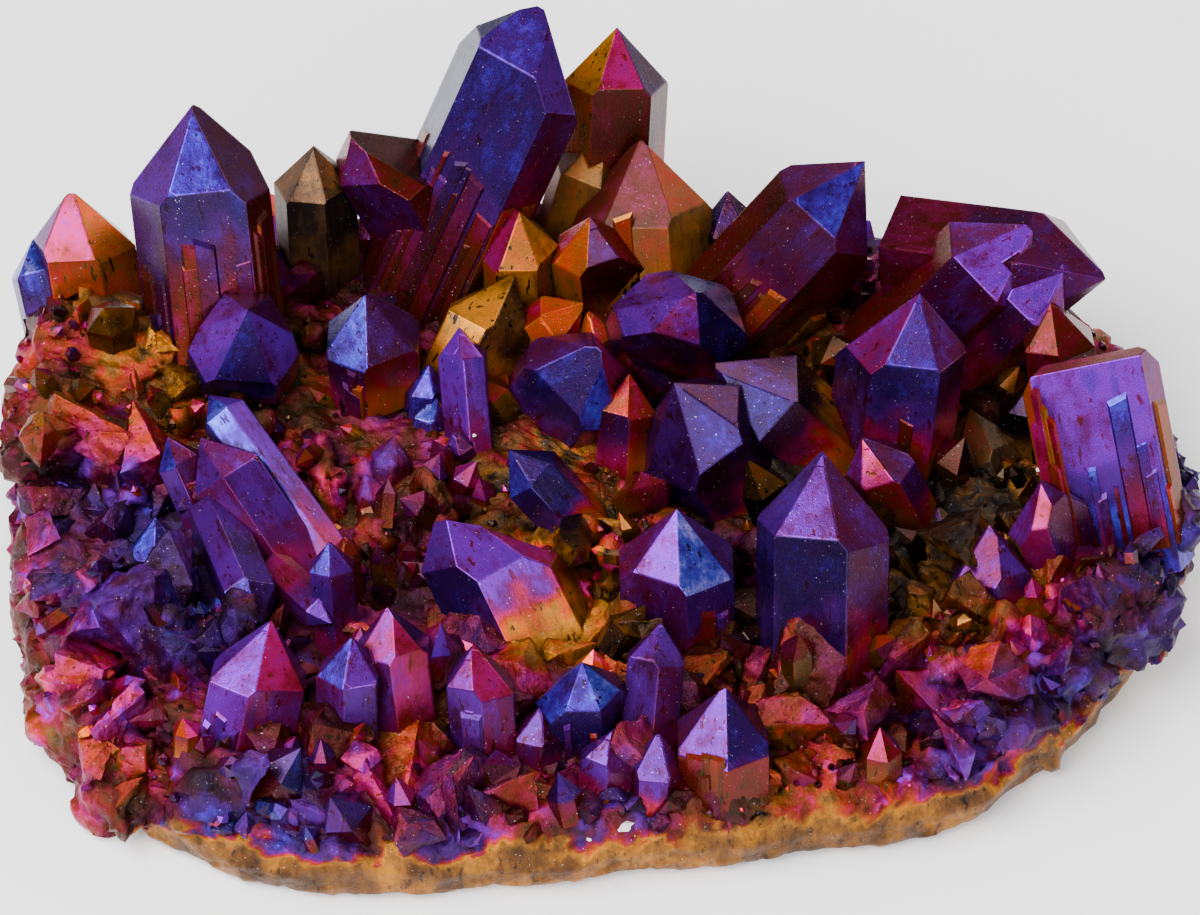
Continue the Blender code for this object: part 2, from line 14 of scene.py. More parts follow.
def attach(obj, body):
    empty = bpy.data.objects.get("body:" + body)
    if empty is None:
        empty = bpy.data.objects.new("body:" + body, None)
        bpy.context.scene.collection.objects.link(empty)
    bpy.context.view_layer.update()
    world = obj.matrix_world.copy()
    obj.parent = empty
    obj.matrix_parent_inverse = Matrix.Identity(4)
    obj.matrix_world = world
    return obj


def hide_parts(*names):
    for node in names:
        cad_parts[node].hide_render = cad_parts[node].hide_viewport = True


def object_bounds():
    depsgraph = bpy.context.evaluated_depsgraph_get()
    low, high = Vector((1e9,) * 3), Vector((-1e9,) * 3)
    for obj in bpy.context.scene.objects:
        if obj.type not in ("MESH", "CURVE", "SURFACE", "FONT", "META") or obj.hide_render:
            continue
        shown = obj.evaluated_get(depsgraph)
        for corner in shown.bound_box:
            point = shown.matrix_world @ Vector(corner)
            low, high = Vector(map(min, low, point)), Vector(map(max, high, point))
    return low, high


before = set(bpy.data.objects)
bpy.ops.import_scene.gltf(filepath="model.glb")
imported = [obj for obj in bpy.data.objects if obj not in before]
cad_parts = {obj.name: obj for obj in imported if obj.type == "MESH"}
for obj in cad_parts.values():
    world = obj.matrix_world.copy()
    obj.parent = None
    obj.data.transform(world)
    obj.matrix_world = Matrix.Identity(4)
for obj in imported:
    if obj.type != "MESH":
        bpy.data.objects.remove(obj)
start_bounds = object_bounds()

# Lengths are in millimetres, and become metres where a mesh, a lamp or the camera is made.
MM = 0.001
LOW, HIGH = (np.array(corner) / MM for corner in start_bounds)

# The front view: how high and how far away the eye is, which point of the picture is its middle, how high
# that point lies, and the way from the view's own origin to the frame's.
VIEW_ELEVATION = math.radians(45)
VIEW_DISTANCE = 500.0
VIEW_MIDDLE = (60.0, 45.75)
VIEW_HEIGHT = 14.0
SHIFT = Vector((0.27, 0.79, 0))
SINE, COSINE = math.sin(VIEW_ELEVATION), math.cos(VIEW_ELEVATION)
EYE = (0.0, -VIEW_DISTANCE * COSINE, VIEW_HEIGHT + VIEW_DISTANCE * SINE)

# Quartz: six prism faces and six end faces, and how far the end faces lean from the axis.
SIDES = 6
FACES = 2 * SIDES
END_FACE_LEAN = math.radians(38.2)
QUARTZ_IOR = 1.54

# How fine the meshes are: the longest edge on points, rock and chunks, and how much longer underneath.
POINT_EDGE = 0.9
ROCK_EDGE = 0.95
CHUNK_EDGE = 0.7
UNDERSIDE = 0.05
UNDERSIDE_TIMES = 4

# How far a face may be from a point's own plane to be that plane, and the least cosine between the two.
PLANE_GAP = 0.06
PLANE_COSINE = 0.998

# Brightness: that of the digit 9, how fast it falls for lower ones, and what a closed-in place keeps of it as
# painted shade.
BRIGHTEST = 0.72
BRIGHTNESS_CURVE = 1.6
CLOSED_IN = 0.35

# Looks without an entry in a table: of faces where crystals are broken, and of the slab's hidden back.
BROKEN_FILM, BROKEN_BRIGHTNESS = 0.34, 0.2
HIDDEN_FILM, HIDDEN_BRIGHTNESS = 0.5, 0.35

# The slab's uncoated rim: how high it comes, and its look.
RIM_HEIGHT = 5.5
RIM_FILM, RIM_BRIGHTNESS = 0.09, 0.34

# How far up a foot's glow reaches where its look has no third digit, in tenths of the point's length.
USUAL_GLOW = 4.5

# How far the grain of one crystal is from that of the next, so that no two are alike.
GRAIN_STEP = 17.3

# Colour of the coating by its thickness, thinnest first, by letter.
FILM = dict(zip("ktgormpvibas", (0.0, 0.07, 0.16, 0.25, 0.34, 0.45, 0.55, 0.65, 0.75, 0.84, 0.92, 1.0)))
FILM_COLOURS = [
    (0.0, (0.045, 0.012, 0.004)),
    (0.07, (0.38, 0.14, 0.02)),
    (0.16, (1.0, 0.36, 0.002)),
    (0.25, (0.9, 0.13, 0.001)),
    (0.34, (0.75, 0.025, 0.004)),
    (0.45, (0.72, 0.004, 0.21)),
    (0.55, (0.27, 0.004, 0.26)),
    (0.65, (0.22, 0.006, 0.6)),
    (0.75, (0.075, 0.004, 0.3)),
    (0.84, (0.085, 0.012, 0.66)),
    (0.92, (0.07, 0.09, 0.85)),
    (1.0, (0.34, 0.28, 0.85)),
]

# Each point: tip and foot across, down and above the base in the front view, width, turn, the distances
# of its sides and the cuts of its end faces where they were measured, one number standing for six, then
# four looks of end faces and four of prism faces: left, front left, front right and right, and last the
# look of its foot. A look is a coating and a brightness, and a third digit on the foot's is how far up
# its glow reaches, in tenths of the point's length. The looks of the faces hold painted light, shade and
# reflection besides the coating's own colour: faces that catch the light and mirror pale surroundings are
# brighter and paler, the others darker. Points of the hidden back have no looks here.
CRYSTALS = """
back_tower|54.2 0.1 42|41.8 27.4 14|14.7|9|7.7 7.3 7.3 4.5 3.5 7|0 0 0 0 1.9 0.1|s3i6v5p3|s3i4p3p2|r26
left_tower|19.5 10.1 36|22.1 32.9 14|14|34|4.7 7 6.2 7 6.2 6.7|0 0 0 0 0 0.9|v6b7p3r3|v3i3r2r2|o37
corner_point|7.1 18.6 25|8.6 27.5 16|9.5|20|||p6m6o6g4|p4r5o5o3|o5
corner_chip|3.3 23.6 19|5 31 13|5.5|20|||a6a6b6v5|b5b5i4v4|v4
back_left_block|35.4 12.2 31|42 24 15|9|10|9 9 4.5 4 4 6|2.5 1 0 0 0 0|m5p5r3r2|m4p3r2r2|o3
back_pale_point|31.2 14.2 28|31.8 25 15|7.5|20|||t6t6t5t4|t4k4k3k3|t3
behind_tower_point|61.7 2.7 35|60.8 20.7 16|9.2|39|5.2 4.6 4.6 4.6 4.1 4.8|0|g6m7p3r4|o6r2r2r3|o5
amber_block|63.8 13.2 28|65 28.5 13|12.5|20|||r4r3o5t4|o4o5g4t3|g5
amber_point|60.3 13.2 26|57.5 22.5 15|7|10|||o4g5o4t4|o5g4t4t3|g5
small_dark_point|72.7 18.8 22|73.5 27 14|6|25|||v3p3p2k2|k2p2p2k2|o3
right_back_point|86.5 16.1 32|71.4 32.2 13|13|10|7.9 6.5 4.5 5.3 5 5.9|0|p4b6p4p3|r2p3r2r2|o36
right_ridge_back|111.3 28 23|95.5 26 19|12.5|10|||p4p5p4r3|p3p4r3r3|r33
right_ridge_upper|103.3 22.4 28|91.5 33.5 13|10.5|0|||p5v8p6r3|r3p3r3r3|o45
right_ridge_lower|106.6 26 25|97 35.5 12|8|0|||p5v8p6r3|r3p3r3r3|o56
right_mid_point|92 29.3 29|90 44.5 11|13|25|4.4 6.5 7.2 5.7 4.6 4.8|0|p7i6p5p3|v3i4p3r2|o56
centre_back_point|69.6 29 27|66.9 35.1 13|12.5|17|6 4.5 6.2 6.3 3.3 6.2|0 .6 .8 0 .9 .7|v6p6i3s4|i2p3p2p2|o6
left_mid_point|24.8 31 25|24.2 36.7 12|11|29|4.1 5.5 4.1 5.7 5 5.5|0|v7i4v6p3|i4i3p3p2|o5
left_mid_second|36.7 28.8 24|37.5 38 12|9.5|0|||s4b5p3p3|r3p3r3o3|o5
centre_blue_point|59.8 34.9 23|55.7 40.8 11|9.5|-14|4.8 4.8 4.8 5.5 3.5 5.6|0 0 0 0 1.4 0|p4i4b7m6|p4i4p3r5|o7
centre_dark_point|67.4 38.3 24|74 48 9|10.5|-3|4.5 5.2 5.2 7 6.7 5.5|0|v3v3i4p3|i3i4p2p2|o7
centre_dark_block|71 36.2 22|81 45 10|11|0|||v3v3i3p3|i3i3p2k2|o6
right_front_spire|82.1 44.9 27|81.8 66.9 8|11|13|5.8 5.5 5.5 5.5 5.8 6.6|0 0 0 0.5 0 0|v5v6p4p3|i4i3p3p2|r5
centre_front_point|67.7 50.9 23|67.9 64 7|11|1|5.4 5.5 5.5 5.7 4.4 5.1|0|p6v7a6v5|r2p4v4p3|o5
big_front_block|44.1 49.7 20|51.3 64.4 7|14|-10|7.8 7 7 4.3 4.5 6|0 3.8 0 0 0 0|p5v5v7m6|i4i4v6r4|g6
pink_gold_point|86 43.6 19|90.5 52 9|6.3|-34|3.7 3.1 3.1 5.6 2.7 3.3|0 0 0 0.4 0.3 0|g6p7m6p4|r4m4r4p3|o4
right_pink_point|103.8 47.8 20|107 57.8 9|8|-42|1.8 4 4 8 4.1 3.1|0 0 0 0.6 0.5 0|m6p7m5p4|p5g6m5p4|o6
slim_violet_point|45.9 32.7 21|46.9 44.1 11|5|55|2.5 2.5 2.3 1.9 2.3 2.4|0|v7p6p5v4|v7v6v4v3|m5
gold_point|51.8 20.7 25|52 30 13|7.5|30|||m6o6g7g5|o6g7o6r3|o6
red_orange_point|59 21.7 25|60.1 30.7 12|9.5|-10|6.3 4.8 4.8 4.1 3.8 3|0|r7o6p3r3|r6o7r2r2|o6
gold_face_block|51.5 27.2 20|47 37 12|9|0|||g6g6t3r3|o5g6t3r3|o5
orange_blade|58.6 30.2 19|51 35.5 12|5.5|0|||o7o7r6r5|r6o7o6r4|g7
purple_red_point|63 37 19|62.5 46 10|5.5|0|||p4r5r5p3|r4p3r4p2|o7
dark_blue_lying|50.6 44.6 17|58 52.5 9|6|0|||i4b5i4i3|i4i4i3p3|o6
long_blade|20.8 39.3 18|33 56 10|4.6|10|||b6b6v6p5|b6b6v6p5|m5
violet_blade|19.8 43.5 18|29 57 9|7|0|||v6v5p6p4|v6p5v5p4|m5
left_blade|16.6 43.3 18|21 53 10|4.5|0|||v6b6p5p4|p5v5p4p3|o5
left_blue_point|6.8 46.6 19|8.5 55 11|8|0|||b4b5i4i3|i4b4i3p3|o5
left_small_blue|15.5 51.5 16|15.8 58 10|5.5|0|||b5b6i4i3|i4i4p3p3|r4
violet_down_point|26.2 62.6 13|22.5 54 13|5.4|0|||b6v6v6v4|v6v7v5v4|v4
front_left_column|27 61.5 19|24 76 6|9|0|||v8v8m7p5|v7v8p6r4|r5
front_left_point|35.2 63.7 20|35.5 76.1 6|6.8|-13|2.8 3.4 3.4 3.2 3 3|0|p6b7v6p4|v4p5v4p3|r4
magenta_blade|38.8 60.5 21|40.5 74.5 7|6.5|0|||p5p7m6p3|p3p5m5r3|r3
rough_pink_point|47.5 64 18|48.5 77 6|6.5|0|||v6p6m6p4|v6v5p5p3|r4
front_blue_point|58.2 66.2 18|59.1 75.3 6|8|26|4.4 4.2 4.2 4.2 2.9 2.9|0|b6b6a6v4|b5i4v4p3|r4
front_slim_violet|66 62 18|64.5 77 6|5.5|0|||p4v6v5p4|p4v5p4p3|o4
front_round_point|72.3 68.6 18|72.4 76.2 9|9|0|||p4v6i4p3|p4r3r3r3|r3
right_column|108.8 34 31.2|112.4 52.6 13|13|30|7 6.5 7 5.6 0.3 4.2|-4 0 -4 -12 -12 -8|p6v7v6p4|o6v8p6r4|b6
right_brown_point|105.2 29.6 24|106.5 40 13|7|0|||r4r3r3r3|r3r3r2k3|o4
right_dark_point|103.3 37.2 18|103 45 10|6|0|||k2p2k1k1|k1k1k1k1|o4
right_low_point|99 52 17|99.5 61.5 8|8|0|||p3p5v5p4|r3p4p4p3|o5
valley_amber_block|97 40.5 14|99.5 46.5 9|7|0|||t3o3t4t3|o3t3t3t2|t3
slim_front_column|32.9 54 19|33.8 65 8|4.5|0|||v5b5v5p4|v4v5p4p3|o6
orange_chip|58.8 31 18|60.8 36.5 11|4|0|||o8o8r6r5|o8o8r7r4|o6
small_orange_point|50.5 40.2 15|52.5 45.5 10|4|0|||m7o7r6r5|r6o7r6r4|g6
valley_chip|93.5 50 12|94.5 54 8|3.5|0|||t4p4t3k2|t3t3k2k2|t2
front_lying_chip|33.3 62.5 13|29 58.5 12|3.5|0|||v6p6m6p4|p5p5m5p4|r4
blue_chip|42.8 36.2 16|42.6 41 11|4.2|20|||b8b7v6p4|b6b6v4p3|p4
blue_chip_low|43.6 39.6 14|42.8 44 10|3.6|0|||b7a7v6p4|b6i5v4p3|p4
purple_chip|39.5 43.4 14|39 47.5 10|4|10|||p6v5p5p3|p4p4p3p3|r3
violet_bud|45.4 43 14|46.6 46 10|3|0|||v7v6p5p4|v5p4p4p3|r4
pink_bud|36.6 47.2 13|37.2 51 9|3.4|20|||m6p6m6p4|m5p5m4p3|r3
front_column_left|54 70.5 13|53.4 77 7|4.4|10|||p5v5p4p3|p4p4p3p3|r4
front_column_mid|61.5 72.6 13|60.2 79 7|5|0|||v6v6p5p4|v5v5p4p3|o4
front_column_right|65.8 73.2 13|65.6 79.5 7|5.2|20|||v5v5p5p4|p4v5p4p3|o5
rear_left_point|12.5 22.5 14|17 28 9|8|10|||||
rear_left_tower|25.5 18.5 15|29 25 9|10|15|||||
rear_mid_left_point|38.5 18.5 12|40 24 9|8|5|||||
rear_mid_point|50 16.5 16|50 23 9|10|25|||||
rear_mid_right_point|64.5 19 12|62 24 9|8.5|0|||||
rear_right_point|79.5 21 17|76 28 9|9|20|||||
rear_small_right_point|87 21.5 14|84 27.5 8|7|5|||||
rear_ledge_point|106 30 17|103 35 9|7.5|0|||||
rear_corner_point|4 28.5 12|9 31 8|6.5|10|||||
rear_far_right_point|95 26 14|89 31 8|9.5|10|||||
"""

# Narrow ribs grown on prism faces: crystal, face (3 left, 4 front left, 5 front right, 0 right), how
# many, how high the tallest comes as a share of the crystal's length, then the looks to choose from.
RIBS = """
right_column 3 9 0.85 o7 r6 m7 o5
right_column 4 7 0.75 v5 p4 b6 v4 p3
right_column 5 7 0.7 r5 o5 p4
back_tower 4 11 0.5 p3 v3 r3 r2
back_tower 5 7 0.42 r3 r2 o3 p3
back_tower 3 4 0.45 r3 p3 o4
left_tower 4 10 0.5 p3 v3 r3 r2
left_tower 5 7 0.55 r3 o4 r2 o5
left_tower 3 5 0.4 p3 v4 r3
right_back_point 4 6 0.4 o4 r3 r2
right_back_point 5 5 0.4 o3 r3 t4
right_ridge_upper 5 6 0.6 r4 o4 p4
right_ridge_lower 5 5 0.5 r4 o4 p4
left_mid_second 4 4 0.5 p3 r4 o5
behind_tower_point 4 4 0.4 o5 r3 t4
behind_tower_point 3 3 0.5 o6 g6 t5
front_left_column 4 4 0.6 v6 v7 p5
front_left_column 5 6 0.6 m6 r5 p4
rough_pink_point 4 5 0.8 m6 v5 p4
big_front_block 3 4 0.5 i3 v4 p3
centre_front_point 5 4 0.5 v4 p4 r4
front_left_point 4 4 0.5 p4 r4 v4
front_blue_point 4 5 0.6 p4 v4 r4
front_slim_violet 4 4 0.5 v4 p4 r4
front_round_point 4 5 0.5 r4 o4 p4
right_mid_point 4 4 0.35 r3 p3 o4
amber_block 4 4 0.6 o5 t4 g5
"""

# Chips of bare, uncoated quartz: where they lie in the front view, and their size.
BARE_CHIPS = """
62.5 82.8 1.7
91.5 63 1.3
92.6 64.2 0.9
90.2 62.2 0.7
4.6 53.9 0.7
59 83.9 0.6
31.5 32 0.6
47.4 43.6 0.5
88.3 22.2 1.0
103.9 47 0.6
"""

# Looks of the matrix and the druse on it: across, down and radius in the front view, then the look.
SPOTS = """
11 31 8 g5
15 36 6 o6
6 33 4 m5
8 40 6 r5
4 29 3 o6
1.5 38 4 r7
1 46 6 r6
3 58 6 r6
6 50 5 v3
8 60 5 v4
8 67 5 r6
9 73 5 m6
6.5 77 4 r6
11 78 5 r5
17 65 4 v4
15 57 4 v4
19 70 4 r4
22 82 5 v4
30 81 5 v5
37 80 4 r5
45 80 5 p4
53 80 5 r4
62 80 5 p4
70 79 4 r4
76 78 4 o5
80 71 5 r5
82 64 4 r5
87 66 4 m5
86 72 5 r4
90 62 3 k3
97 64 5 o6
103 62 5 o6
97 70 5 v5
104 68 4 v5
109 64 4 v5
114 60 4 v4
118 50 4 v4
116 42 4 p4
108 57 4 r4
103 55 4 o4
98 47 5 t2
92 52 5 t2
94 43 4 o3
80 57 5 r2
76 47 4 t2
62 47 4 o5
58 44 4 o6
47 47 5 o5
40 50 5 r3
34 49 5 r5
36 43 4 r4
30 41 4 o3
22 38 4 o3
40 42 4 m5
46 40 4 o5
52 34 5 o6
48 33 4 o6
56 27 5 o6
45 28 5 r4
40 25 5 o5
33 26 4 o4
30 30 4 o3
26 26 4 o3
64 18 5 o5
70 22 4 o3
75 25 5 o4
70 26 4 o3
82 32 5 o3
84 37 4 t3
97 33 5 o3
104 33 4 o5
61 60 4 o6
57 58 4 g6
75 62 4 o3
72 58 4 r2
40 70 4 o5
42 74 4 r5
32 72 4 m4
"""

# Points with hardly any coating, which are see-through.
CLEAR = ("amber_block", "amber_point", "back_pale_point", "valley_amber_block", "valley_chip")

# Which of the four looks a face has, by its number round the axis.
LOOK_OF_FACE = (3, 3, 0, 0, 1, 2)


def from_view(across, down, height):
    """The place at that height which is seen at that point of the front view."""
    right = (across - VIEW_MIDDLE[0]) / VIEW_DISTANCE
    up = (VIEW_MIDDLE[1] - down) / VIEW_DISTANCE
    eye = Vector(EYE)
    ray = Vector((right, up * SINE + COSINE, up * COSINE - SINE))
    return eye + ray * ((height - eye.z) / ray.z) + SHIFT


def to_view(places):
    """Where places are seen in the front view: across and down its picture."""
    rays = places - (np.array(EYE) + np.array(SHIFT))
    depth = rays @ np.array((0, COSINE, -SINE))
    up = rays @ np.array((0, SINE, COSINE))
    across = VIEW_MIDDLE[0] + rays[:, 0] / depth * VIEW_DISTANCE
    return np.stack([across, VIEW_MIDDLE[1] - up / depth * VIEW_DISTANCE], axis=1)


def look(word):
    """Coating thickness and brightness of a look such as v7."""
    return FILM[word[0]], BRIGHTEST * (int(word[1]) / 9) ** BRIGHTNESS_CURVE


def numbers(text):
    """The numbers in a field of a table."""
    return [float(word) for word in text.split()]


def rows(table):
    """The lines of a table."""
    return table.strip().splitlines()


def own_looks(chance):
    """Looks for a point of the hidden back: of its end faces, its prism faces and its foot."""
    tone = chance.choice("vvppmib")
    other = chance.choice("pvmr")
    ends = f"{tone}6{tone}7{other}6{other}5"
    prisms = f"{tone}4{other}4{tone}3{other}3"
    return ends, prisms, chance.choice(("r3", "o4", "p3"))


def read_crystal(line):
    """A line of the table as a crystal: its planes, each with a look, prism faces first."""
    name, tip, foot, width, turn, sides, cuts, ends, prisms, base = line.split("|")
    tip, foot = from_view(*numbers(tip)), from_view(*numbers(foot))
    width, turn = float(width), float(turn)
    chance = random.Random(name)
    sides = numbers(sides) or [width / 2 * chance.uniform(0.9, 1.08) for _ in range(SIDES)]
    cuts = numbers(cuts) or [chance.uniform(0, 0.1) * width for _ in range(SIDES)]
    if len(cuts) == 1:
        cuts = cuts * SIDES
    if not ends:
        ends, prisms, base = own_looks(chance)
    ends, prisms = ([look(words[n:n + 2]) for n in (0, 2, 4, 6)] for words in (ends, prisms))
    axis = (tip - foot).normalized()
    side = (Vector((1, 0, 0)) - axis * axis.x).normalized()
    depth = axis.cross(side)
    prism_planes, end_planes = [], []
    for number, place in enumerate(LOOK_OF_FACE):
        angle = math.radians(turn + 60 * number)
        outward = side * math.cos(angle) + depth * math.sin(angle)
        prism_planes.append((outward, foot + outward * sides[number], prisms[place]))
        normal = outward * math.cos(END_FACE_LEAN) + axis * math.sin(END_FACE_LEAN)
        end_planes.append((normal, tip - axis * cuts[number], ends[place]))
    planes = [(np.array(normal), np.array(point), face) for normal, point, face in prism_planes + end_planes]
    return {
        "name": name,
        "tip": np.array(tip),
        "foot": np.array(foot),
        "axis": np.array(axis),
        "width": width,
        "planes": planes,
        "base": look(base),
        "glow": float(base[2:] or USUAL_GLOW) / 10,
    }


def smooth(low, high, value):
    """0 below low, 1 above high and a smooth way between."""
    share = np.clip((value - low) / (high - low), 0, 1)
    return share * share * (3 - 2 * share)


def lit(opened):
    """The share of its brightness that a place keeps, by how open it is: painted shade."""
    return CLOSED_IN + (1 - CLOSED_IN) * opened


def triangles(thing):
    """An object's places in millimetres and its triangles, with equal places joined."""
    mesh = thing.data
    mesh.calc_loop_triangles()
    places = np.empty(len(mesh.vertices) * 3)
    mesh.vertices.foreach_get("co", places)
    corners = np.empty(len(mesh.loop_triangles) * 3, dtype=np.int64)
    mesh.loop_triangles.foreach_get("vertices", corners)
    places = places.reshape(-1, 3) / MM
    _, first, back = np.unique(np.round(places, 3), axis=0, return_index=True, return_inverse=True)
    corners = back.reshape(-1)[corners].reshape(-1, 3)
    a, b, c = corners.T
    return places[first], corners[(a != b) & (b != c) & (c != a)]


crystals = [read_crystal(line) for line in rows(CRYSTALS)]
spots = [line.split() for line in rows(SPOTS)]
meshes = {name: triangles(thing) for name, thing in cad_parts.items()}
solids = [name for name in meshes if name != "matrix"]


def everything():
    """All the solids in one search tree."""
    all_places, all_corners, count = [], [], 0
    for name in ["matrix", *solids]:
        places, corners = meshes[name]
        all_places.append(places)
        all_corners.append(corners + count)
        count += len(places)
    return BVHTree.FromPolygons(np.concatenate(all_places).tolist(), np.concatenate(all_corners).tolist())


tree = everything()


def unit(ways):
    """Directions made one long."""
    return ways / np.maximum(np.linalg.norm(ways, axis=1, keepdims=True), 1e-12)


def cross_of(places, corners):
    """Normals of triangles, each as long as twice its area."""
    a, b, c = (places[corners[:, n]] for n in range(3))
    return np.cross(b - a, c - a)


def point_normals(places, corners):
    """Unit normals at the places."""
    normal = cross_of(places, corners)
    total = np.zeros_like(places)
    for n in range(3):
        np.add.at(total, corners[:, n], normal)
    return unit(total)


def edges_of(corners):
    """The ends of all first edges, all second edges and all third edges, the lower number first."""
    return np.sort(np.concatenate([corners[:, [0, 1]], corners[:, [1, 2]], corners[:, [2, 0]]]), axis=1)


def finder_of(places):
    """A search tree for the nearest of some places."""
    finder = KDTree(len(places))
    for number, place in enumerate(places):
        finder.insert(place, number)
    finder.balance()
    return finder


def refine(places, corners, tags, limit):
    """Halves every edge longer than the limit until none is left, with a wider limit on the underside."""
    while True:
        unique, back = np.unique(edges_of(corners), axis=0, return_inverse=True)
        under = (places[unique][:, :, 2] < UNDERSIDE).all(axis=1)
        long = np.linalg.norm(places[unique[:, 0]] - places[unique[:, 1]], axis=1)
        far = long > limit * np.where(under, UNDERSIDE_TIMES, 1)
        if not far.any():
            return places, corners, tags
        middle = np.full(len(unique), -1)
        middle[far] = len(places) + np.arange(far.sum())
        places = np.concatenate([places, (places[unique[far, 0]] + places[unique[far, 1]]) / 2])
        halves = middle[back.reshape(-1)].reshape(3, -1).T
        count = (halves >= 0).sum(axis=1)
        made, made_tags = [corners[count == 0]], [tags[count == 0]]
        for split in (1, 2):
            for start in range(3):
                order = [start, (start + 1) % 3, (start + 2) % 3]
                if split == 1:
                    these = (count == 1) & (halves[:, start] >= 0)
                else:
                    these = (count == 2) & (halves[:, (start + 2) % 3] < 0)
                a, b, c = corners[these][:, order].T
                ab, bc = halves[these][:, start], halves[these][:, (start + 1) % 3]
                if split == 1:
                    new = [(a, ab, c), (ab, b, c)]
                else:
                    new = [(ab, b, bc), (a, ab, bc), (a, bc, c)]
                made += [np.stack(one, axis=1) for one in new]
                made_tags += [tags[these]] * len(new)
        these = count == 3
        a, b, c = corners[these].T
        ab, bc, ca = halves[these].T
        made += [np.stack(one, axis=1) for one in ((a, ab, ca), (ab, b, bc), (bc, c, ca), (ab, bc, ca))]
        made_tags += [tags[these]] * 4
        corners, tags = np.concatenate(made), np.concatenate(made_tags)


def apart_by_face(places, corners, tags):
    """Gives every flat face its own places."""
    keys = np.stack([corners.reshape(-1), np.repeat(tags, 3)], axis=1)
    unique, back = np.unique(keys, axis=0, return_inverse=True)
    return places[unique[:, 0]], back.reshape(-1, 3), unique[:, 1]


def link_up(name, mesh):
    """An object in the scene."""
    thing = bpy.data.objects.new(name, mesh)
    bpy.context.scene.collection.objects.link(thing)
    return thing


def make(name, places, corners, values, materials, material_of=None):
    """A mesh object in metres, with values on its places for the shaders to read."""
    values = {"edge": np.ones(len(places)), "grain": places} | values
    mesh = bpy.data.meshes.new(name)
    mesh.vertices.add(len(places))
    mesh.vertices.foreach_set("co", (places * MM).reshape(-1))
    mesh.loops.add(len(corners) * 3)
    mesh.loops.foreach_set("vertex_index", corners.reshape(-1).astype(np.int32))
    mesh.polygons.add(len(corners))
    mesh.polygons.foreach_set("loop_start", np.arange(0, len(corners) * 3, 3, dtype=np.int32))
    mesh.update(calc_edges=True)
    for key, value in values.items():
        value = np.asarray(value, dtype=np.float32)
        if value.ndim == 2:
            mesh.attributes.new(key, "FLOAT_VECTOR", "POINT").data.foreach_set("vector", value.reshape(-1))
        else:
            mesh.attributes.new(key, "FLOAT", "POINT").data.foreach_set("value", value)
    for material in materials:
        mesh.materials.append(material)
    if material_of is not None:
        mesh.polygons.foreach_set("material_index", material_of.astype(np.int32))
    mesh.validate()
    return link_up(name, mesh)


class Shading:
    """A new material, with short ways to add nodes and to link them."""

    def __init__(self, name):
        self.material = bpy.data.materials.new(name)
        self.material.use_nodes = True
        self.nodes = self.material.node_tree.nodes
        self.shader = self.nodes["Principled BSDF"]

    def put(self, socket, value):
        """Links an output to an input, or sets the input to a plain value."""
        if isinstance(value, bpy.types.NodeSocket):
            self.material.node_tree.links.new(value, socket)
        else:
            socket.default_value = value

    def add(self, kind, output, **values):
        """An output of a new node whose settings and inputs have these values."""
        node = self.nodes.new("ShaderNode" + kind)
        for key, value in values.items():
            if key in node.inputs:
                self.put(node.inputs[key], value)
            else:
                setattr(node, key, value)
        return node.outputs[output]

    def math(self, operation, *values):
        """A sum, product or the like."""
        node = self.nodes.new("ShaderNodeMath")
        node.operation = operation
        for socket, value in zip(node.inputs, values):
            self.put(socket, value)
        return node.outputs["Value"]

    def span(self, value, old, new):
        """A value taken from one range to another and held at its ends."""
        ends = dict(zip(("From Min", "From Max", "To Min", "To Max"), (*old, *new)))
        return self.add("MapRange", "Result", Value=value, **ends)

    def ramp(self, value, stops):
        """A colour that follows a value."""
        colour = self.add("ValToRGB", "Color", Fac=value)
        elements = colour.node.color_ramp.elements
        elements.remove(elements[-1])
        for number, (place, tone) in enumerate(stops):
            element = elements[0] if number == 0 else elements.new(place)
            element.position = place
            element.color = (*tone, 1)
        return colour

    def finish(self, **values):
        """The material, with the last of the shader's inputs set by name."""
        for key, value in values.items():
            self.put(self.shader.inputs[key.replace("_", " ")], value)
        return self.material


# The range that most values of a noise lie in, the height of relief in metres, and the colour of pale specks,
# dust and painted glints.
USUAL = (0.3, 0.7)
RELIEF = 0.0003
DUST_AND_GLINT_COLOUR = (0.62, 0.55, 0.72, 1)


